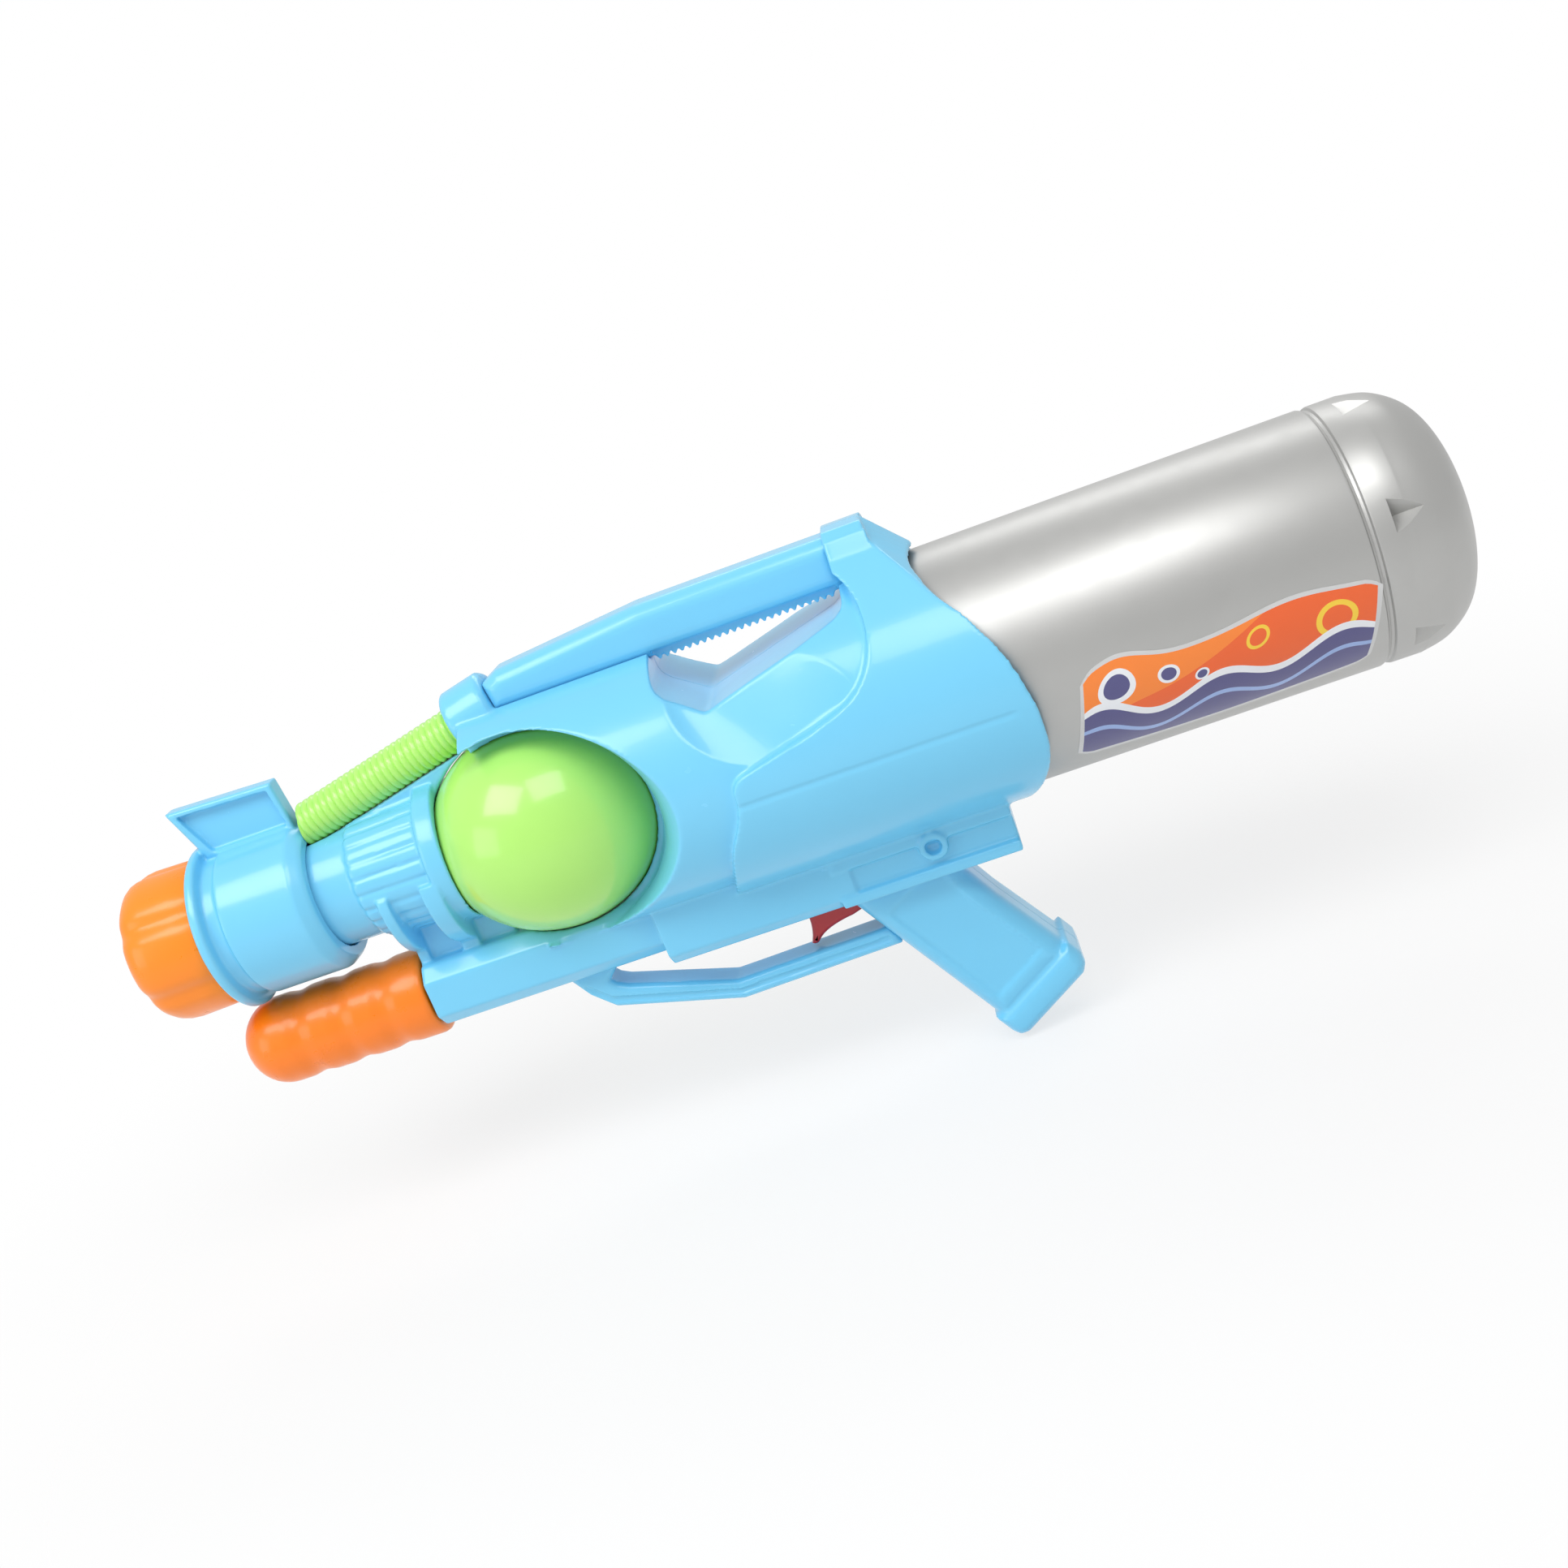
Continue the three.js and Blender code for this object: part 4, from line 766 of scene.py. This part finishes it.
# Tank
# A satin silver blow-moulded bottle that screws into the rear housing. A groove runs round it near the
# end, and six triangular notches in the dome give the fingers a hold.
silver = moulded("silver plastic", (188, 188, 186), (182, 182, 180), 0.36, grain=0.05, metal=0.8)
MOUTH = 22.0
shoulder = smooth_line([(44, 18), (47, 26.5), (53, 38.2), (61, 47.7), (71, 53)], 6)
groove = [(239.6, 53), (240.4, 52.7), (241, 51.8), (242, 51.4), (243, 51.8), (243.6, 52.7), (244.4, 53)]
dome = smooth_line([(256, 53), (267, 50.3), (277, 42.9), (283, 31.8), (286.2, 17), (287, 0)], 8)
bottle = turned("tank_bottle", [(MOUTH, 0), (MOUTH, 18)] + shoulder + groove + dome, 160)
lining = [(282, 0), (281, 15.9), (276, 32.5), (267, 42.5), (256, 44.5), (238, 50), (72, 51.4), (62, 46.1),
          (54, 36.6), (48, 24.9), (45, 16.4), (MOUTH - 1, 16.4), (MOUTH - 1, 0)]
cut(bottle, turned("inside", lining, 96))
for i in range(6):
    turn = Matrix.Rotation(math.radians(74 + 60 * i), 4, "X")
    rings = []
    for x, half, low in ((250.6, 17.5, 46.9), (263, 12.5, 51.7)):
        rings.append([tuple(turn @ Vector(p)) for p in ((x, -half, 62), (x, half, 62), (x, 0, low))])
    cut(bottle, skin("notch", rings))
dress(bottle, silver, 30)
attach(bottle, "bottle")
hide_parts("tank")


# Tank sticker
# A thin printed label on each side of the tank, silver-edged, in orange and navy with plain waves and
# bubbles. It is stuck on the lower half, behind the rear housing.
def sticker_material():
    made = bpy.data.materials.new("printed sticker")
    made.use_nodes = True
    tree = made.node_tree
    shader = tree.nodes["Principled BSDF"]
    add, link = tree.nodes.new, tree.links.new

    def math_node(kind, first, second=None, third=None):
        found = add("ShaderNodeMath")
        found.operation = kind
        for place, value in enumerate((first, second, third)):
            if value is None:
                continue
            if isinstance(value, (int, float)):
                found.inputs[place].default_value = value
            else:
                link(value, found.inputs[place])
        return found.outputs[0]

    def over(below, colour, mask):
        found = add("ShaderNodeMix")
        found.data_type = "RGBA"
        link(mask, found.inputs["Factor"])
        if isinstance(below, tuple):
            found.inputs["A"].default_value = below
        else:
            link(below, found.inputs["A"])
        found.inputs["B"].default_value = colour
        return found.outputs["Result"]

    def disc(middle, height, radius):
        across = math_node("MULTIPLY", math_node("SUBTRACT", along, middle), 2.5)
        rise = math_node("SUBTRACT", up, height)
        square = math_node("MULTIPLY_ADD", across, across, math_node("MULTIPLY", rise, rise))
        return math_node("LESS_THAN", square, radius * radius)

    spread = add("ShaderNodeUVMap")
    split = add("ShaderNodeSeparateXYZ")
    link(spread.outputs["UV"], split.inputs["Vector"])
    along, up = split.outputs["X"], split.outputs["Y"]
    orange_ink = linear((240, 96, 22))
    navy_ink = linear((78, 76, 130))
    white_ink = linear((236, 238, 242))
    yellow_ink = linear((248, 206, 52))
    pale_ink = linear((150, 176, 226))
    corner = math_node("GREATER_THAN", up, math_node("ADD", along, 0.34))
    colour = over(orange_ink, linear((250, 132, 36)), corner)
    for middle, height, radius in ((0.86, 0.7, 0.17), (0.6, 0.78, 0.1)):
        colour = over(colour, yellow_ink, disc(middle, height, radius))
        colour = over(colour, orange_ink, disc(middle, height, radius * 0.72))
    wave = math_node("MULTIPLY", math_node("SINE", math_node("MULTIPLY_ADD", along, 15, 0.8)), 0.1)
    edge = math_node("ADD", wave, 0.46)
    colour = over(colour, white_ink, math_node("LESS_THAN", up, math_node("ADD", edge, 0.075)))
    colour = over(colour, navy_ink, math_node("LESS_THAN", up, edge))
    ripple = math_node("ABSOLUTE", math_node("SUBTRACT", up, math_node("SUBTRACT", edge, 0.2)))
    colour = over(colour, pale_ink, math_node("LESS_THAN", ripple, 0.026))
    for middle, height, radius in ((0.13, 0.72, 0.16), (0.3, 0.76, 0.09), (0.41, 0.66, 0.06)):
        colour = over(colour, white_ink, disc(middle, height, radius))
        colour = over(colour, navy_ink, disc(middle, height, radius * 0.7))
    from_middle = math_node("ABSOLUTE", math_node("SUBTRACT", up, 0.5))
    edge_up = math_node("GREATER_THAN", from_middle, 0.462)
    from_middle = math_node("ABSOLUTE", math_node("SUBTRACT", along, 0.5))
    edge_along = math_node("GREATER_THAN", from_middle, 0.486)
    colour = over(colour, linear((206, 206, 206)), math_node("MAXIMUM", edge_up, edge_along))
    link(colour, shader.inputs["Base Color"])
    shader.inputs["Roughness"].default_value = 0.22
    shader.inputs["Coat Weight"].default_value = 0.4
    return made


print_finish = sticker_material()
for side, name in ((-1, "tank_sticker_near"), (1, "tank_sticker_far")):
    columns, rows = 60, 24
    x0, x1, lean = 121.0, 237.0, 8.0
    points, faces, spread = [], [], []
    for layer in (53.02, 53.2):
        for i in range(columns + 1):
            for k in range(rows + 1):
                u, v = i / columns, k / rows
                low = -48 - 4 * math.sin(math.pi * u)
                high = -6 + 6 * math.exp(-((u - 0.14) / 0.12) ** 2) + 5 * math.exp(-((u - 0.72) / 0.2) ** 2)
                pull = max(0.0, 1 - min(u, 1 - u) / 0.06)
                squeeze = 1 - 0.18 * pull ** 2
                angle = math.radians(low + (high - low) * (0.5 + (v - 0.5) * squeeze))
                x = x0 + (x1 - x0) * u + lean * (v - 0.5)
                points.append((x, side * layer * math.cos(angle), layer * math.sin(angle)))
                spread.append((u, v))
    size = (columns + 1) * (rows + 1)
    for i in range(columns):
        for k in range(rows):
            a = i * (rows + 1) + k
            quad = (a, a + rows + 1, a + rows + 2, a + 1)
            faces.append(quad)
            faces.append(tuple(size + n for n in reversed(quad)))
    border = [k for k in range(rows + 1)] + [i * (rows + 1) + rows for i in range(1, columns + 1)]
    border += [columns * (rows + 1) + k for k in range(rows - 1, -1, -1)]
    border += [i * (rows + 1) for i in range(columns - 1, 0, -1)]
    for a, b in zip(border, border[1:] + border[:1]):
        faces.append((a, b, b + size, a + size))
    mesh = bpy.data.meshes.new(name)
    mesh.from_pydata([(Vector(p) + ORIGIN) * 0.001 for p in points], [], faces)
    layer = mesh.uv_layers.new(name="UVMap")
    for corner in mesh.loops:
        layer.data[corner.index].uv = spread[corner.vertex_index]
    label = bpy.data.objects.new(name, mesh)
    bpy.context.scene.collection.objects.link(label)
    work = bmesh.new()
    work.from_mesh(mesh)
    bmesh.ops.recalc_face_normals(work, faces=work.faces)
    work.to_mesh(mesh)
    work.free()
    dress(label, print_finish, 40)
    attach(label, "bottle")


# Hoses inside the body
# Soft milky tubes pushed over barbs: air from the pump to the tank, and water from the tank through the
# valve to the bulb and on to the nozzle.
def tube(name, node, points, outside, bore):
    line = smooth_line([tuple(p) for p in points], 10)
    rings = []
    side = Vector((0, 1, 0))
    for i, p in enumerate(line):
        ahead = Vector(line[min(i + 1, len(line) - 1)]) - Vector(line[max(i - 1, 0)])
        ahead.normalize()
        side = (side - ahead * side.dot(ahead)).normalized()
        up = ahead.cross(side)
        rings.append((Vector(p), side.copy(), up))
    skins = []
    for radius, order in ((outside, rings), (bore, list(reversed(rings)))):
        for middle, across, up in order:
            skins.append([tuple(middle + across * (radius * math.cos(a)) + up * (radius * math.sin(a)))
                          for a in (2 * math.pi * j / 20 for j in range(20))])
    made = skin(name, skins, closed=True)
    dress(made, milky, 60)
    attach(made, "body")
    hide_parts(node)
    return made


milky = moulded("milky hose", (222, 228, 226), (212, 220, 218), 0.3, glow=0.1)
tube("water_hose_tube", "water_hose",
     [(15, -8, 0), (10, -8, 0), (5, -8, 0), (-2, -12, -8), (0, -14, -24), (12, -14, -41), (30, -13, -51),
      (42, -7, -53), (45, 0, -58.5), (45, 0, -64.5), (45, 0, -69.5)], 4.5, 3.5)
tube("air_hose_tube", "air_hose",
     [(-35, 0, CYLINDER_Z), (-30, 0, CYLINDER_Z), (-25, 0, CYLINDER_Z), (-17, 7, CYLINDER_Z + 8),
      (0, 15, -36), (-2, 16, -20), (-2, 12, -6), (5, 8, 0), (10, 8, 0), (15, 8, 0)], 4.5, 3.5)
tube("feed_tube_hose", "feed_tube",
     [(31, 0, -69.5), (31, 0, -64.5), (31, 0, -58.5), (25, 0, -48), (8, 0, -34), (-12, 0, -18),
      (-26, 0, BULB_Z - 2), (-35.5, 0, BULB_Z), (-41.5, 0, BULB_Z), (-47.5, 0, BULB_Z)], 4.5, 3.5)
tube("barrel_tube_hose", "barrel_tube",
     [(-149.5, 0, BULB_Z), (-155.5, 0, BULB_Z), (-161.5, 0, BULB_Z), (-186.5, 0, BULB_Z / 2),
      (-209, 0, 0), (-216, 0, 0), (-223, 0, 0)], 4.5, 3.5)
tube("dip_tube_hose", "dip_tube",
     [(7, -8, 0), (20, -8, 0), (32, -8, 0), (52, -8, -4), (82, -4, -22), (122, 0, -36), (182, 0, -42),
      (247, 0, -44)],
     3, 1.6)

# Body screws
# Eight zinc-plated screws with flat heads and a cross recess, sunk in the right half.
zinc = moulded("zinc-plated steel", (186, 188, 190), (170, 172, 176), 0.26, grain=0.02, metal=0.9)
for number, (x, z, seat) in enumerate(SCREWS, 1):
    rows = [(0, seat - 16), (1.4, seat - 14.5), (1.4, seat + 0.3), (2.9, seat + 0.3), (3.1, seat + 0.6),
            (3.1, seat + 1.9), (2.8, seat + 2.4), (0, seat + 2.5)]
    name = f"body_screw_{number:02d}"
    screw = turned(name + "_steel", [(y, radius) for radius, y in rows], 32)
    screw.data.transform(Matrix.Translation(-ORIGIN * 0.001))
    screw.data.transform(Matrix.Rotation(math.pi / 2, 4, "Z"))
    screw.data.transform(Matrix.Translation((Vector((x, 0, z)) + ORIGIN) * 0.001))
    cut(screw, block(x - 2, x + 2, seat + 1.2, seat + 4, z - 0.4, z + 0.4),
        block(x - 0.4, x + 0.4, seat + 1.2, seat + 4, z - 2, z + 2))
    dress(screw, zinc, 35)
    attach(screw, "body")
    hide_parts(name)

# Pump and valve pieces inside the body
# Natural white mouldings, rubber rings and steel pieces keep the shapes of the drawing.
natural = moulded("natural white plastic", (230, 230, 225), (220, 220, 214), 0.36)
rubber = moulded("black rubber", (34, 34, 35), (26, 26, 27), 0.6, grain=0.2)
for names, material in (
        (("nozzle_seat", "pump_rod", "pump_piston", "rod_guide", "pump_cylinder", "valve_body",
          "valve_plunger", "tank_socket"), natural),
        (("piston_ring", "valve_ring", "tank_gasket", "air_valve"), rubber),
        (("trigger_pin", "valve_spring"), zinc)):
    for name in names:
        dress(nodes[name], material, 40)

# Floor
# A plain white floor that keeps a faint shadow of the object and fades out into the white background.
bpy.ops.mesh.primitive_grid_add(x_subdivisions=2, y_subdivisions=2, size=3, location=(0, 0, -0.002))
floor = bpy.context.object
floor.name = "floor"
white = bpy.data.materials.new("white floor")
white.use_nodes = True
tree = white.node_tree
tree.nodes.clear()
sent = tree.nodes.new("ShaderNodeOutputMaterial")
paper = tree.nodes.new("ShaderNodeBsdfDiffuse")
paper.inputs["Color"].default_value = (0.86, 0.86, 0.86, 1)
glow = tree.nodes.new("ShaderNodeEmission")
light_path = tree.nodes.new("ShaderNodeLightPath")
seen = tree.nodes.new("ShaderNodeMath")
seen.operation = "MAXIMUM"
tree.links.new(light_path.outputs["Is Camera Ray"], seen.inputs[0])
tree.links.new(light_path.outputs["Is Glossy Ray"], seen.inputs[1])
share = tree.nodes.new("ShaderNodeMath")
share.operation = "MULTIPLY"
share.inputs[1].default_value = 0.72
tree.links.new(seen.outputs[0], share.inputs[0])
mixed = tree.nodes.new("ShaderNodeMixShader")
tree.links.new(share.outputs[0], mixed.inputs[0])
tree.links.new(paper.outputs[0], mixed.inputs[1])
tree.links.new(glow.outputs[0], mixed.inputs[2])
place = tree.nodes.new("ShaderNodeTexCoord")
away = tree.nodes.new("ShaderNodeVectorMath")
away.operation = "LENGTH"
tree.links.new(place.outputs["Object"], away.inputs[0])
fade = tree.nodes.new("ShaderNodeMapRange")
fade.interpolation_type = "SMOOTHSTEP"
fade.inputs["From Min"].default_value = 0.2
fade.inputs["From Max"].default_value = 0.6
tree.links.new(away.outputs["Value"], fade.inputs["Value"])
gone = tree.nodes.new("ShaderNodeMath")
gone.operation = "MULTIPLY"
tree.links.new(fade.outputs["Result"], gone.inputs[0])
tree.links.new(light_path.outputs["Is Camera Ray"], gone.inputs[1])
clear = tree.nodes.new("ShaderNodeBsdfTransparent")
edge = tree.nodes.new("ShaderNodeMixShader")
tree.links.new(gone.outputs[0], edge.inputs[0])
tree.links.new(mixed.outputs[0], edge.inputs[1])
tree.links.new(clear.outputs[0], edge.inputs[2])
tree.links.new(edge.outputs[0], sent.inputs["Surface"])
floor.data.materials.append(white)

# Light
# A pale room with a broad key light above and in front, a fill from the nozzle end and a strip along
# the back.
world = bpy.data.worlds.new("pale room")
bpy.context.scene.world = world
world.use_nodes = True
tree = world.node_tree
room = tree.nodes["Background"]
room.inputs["Color"].default_value = (1, 1, 1, 1)
light_path = tree.nodes.new("ShaderNodeLightPath")
level = tree.nodes.new("ShaderNodeMix")
level.inputs["A"].default_value = 0.51
level.inputs["B"].default_value = 1.0
clear_view = tree.nodes.new("ShaderNodeMath")
clear_view.operation = "MAXIMUM"
tree.links.new(light_path.outputs["Is Camera Ray"], clear_view.inputs[0])
tree.links.new(light_path.outputs["Is Transmission Ray"], clear_view.inputs[1])
mirrored = tree.nodes.new("ShaderNodeMath")
mirrored.operation = "MULTIPLY_ADD"
mirrored.inputs[1].default_value = 0.5
tree.links.new(light_path.outputs["Is Glossy Ray"], mirrored.inputs[0])
tree.links.new(clear_view.outputs[0], mirrored.inputs[2])
tree.links.new(mirrored.outputs[0], level.inputs["Factor"])
tree.links.new(level.outputs["Result"], room.inputs["Strength"])


def area_light(name, place, aim, size, power):
    lamp = bpy.data.lights.new(name, "AREA")
    lamp.shape = "RECTANGLE"
    lamp.size, lamp.size_y = size
    lamp.energy = power
    holder = bpy.data.objects.new(name, lamp)
    bpy.context.scene.collection.objects.link(holder)
    holder.location = place
    holder.rotation_euler = (Vector(aim) - Vector(place)).to_track_quat("-Z", "Y").to_euler()


area_light("key", (-0.5, -0.55, 0.95), (-0.08, 0, 0.15), (0.62, 0.5), 4.7)
area_light("second key", (0.22, -0.6, 1.05), (0.05, 0, 0.15), (0.6, 0.5), 3.7)
area_light("fill", (-1.3, -0.9, 0.45), (0, 0, 0.16), (0.7, 0.7), 2.5)
area_light("strip", (0.3, 0.9, 1.1), (0, 0, 0.18), (1.2, 0.3), 3)

# Camera
# The viewing angle of the photograph: a little from the nozzle side, from above, with the object tilted.
camera = bpy.data.objects.new("camera", bpy.data.cameras.new("camera"))
bpy.context.scene.collection.objects.link(camera)
camera.data.sensor_width = 36
camera.data.lens = 40.4
around, above, tilt = math.radians(7.7), math.radians(16), math.radians(21.2)
back = Vector((math.sin(around) * math.cos(above), -math.cos(around) * math.cos(above), math.sin(above)))
right = Vector((math.cos(around), math.sin(around), 0))
up = back.cross(right)
tilted_right = right * math.cos(tilt) - up * math.sin(tilt)
tilted_up = right * math.sin(tilt) + up * math.cos(tilt)
place = Vector((-0.002, 0, 0.1343)) + back * 0.731
turn = Matrix((tilted_right, tilted_up, back)).transposed().to_4x4()
camera.matrix_world = Matrix.Translation(place) @ turn
bpy.context.scene.camera = camera
bpy.context.scene.view_settings.view_transform = "Standard"
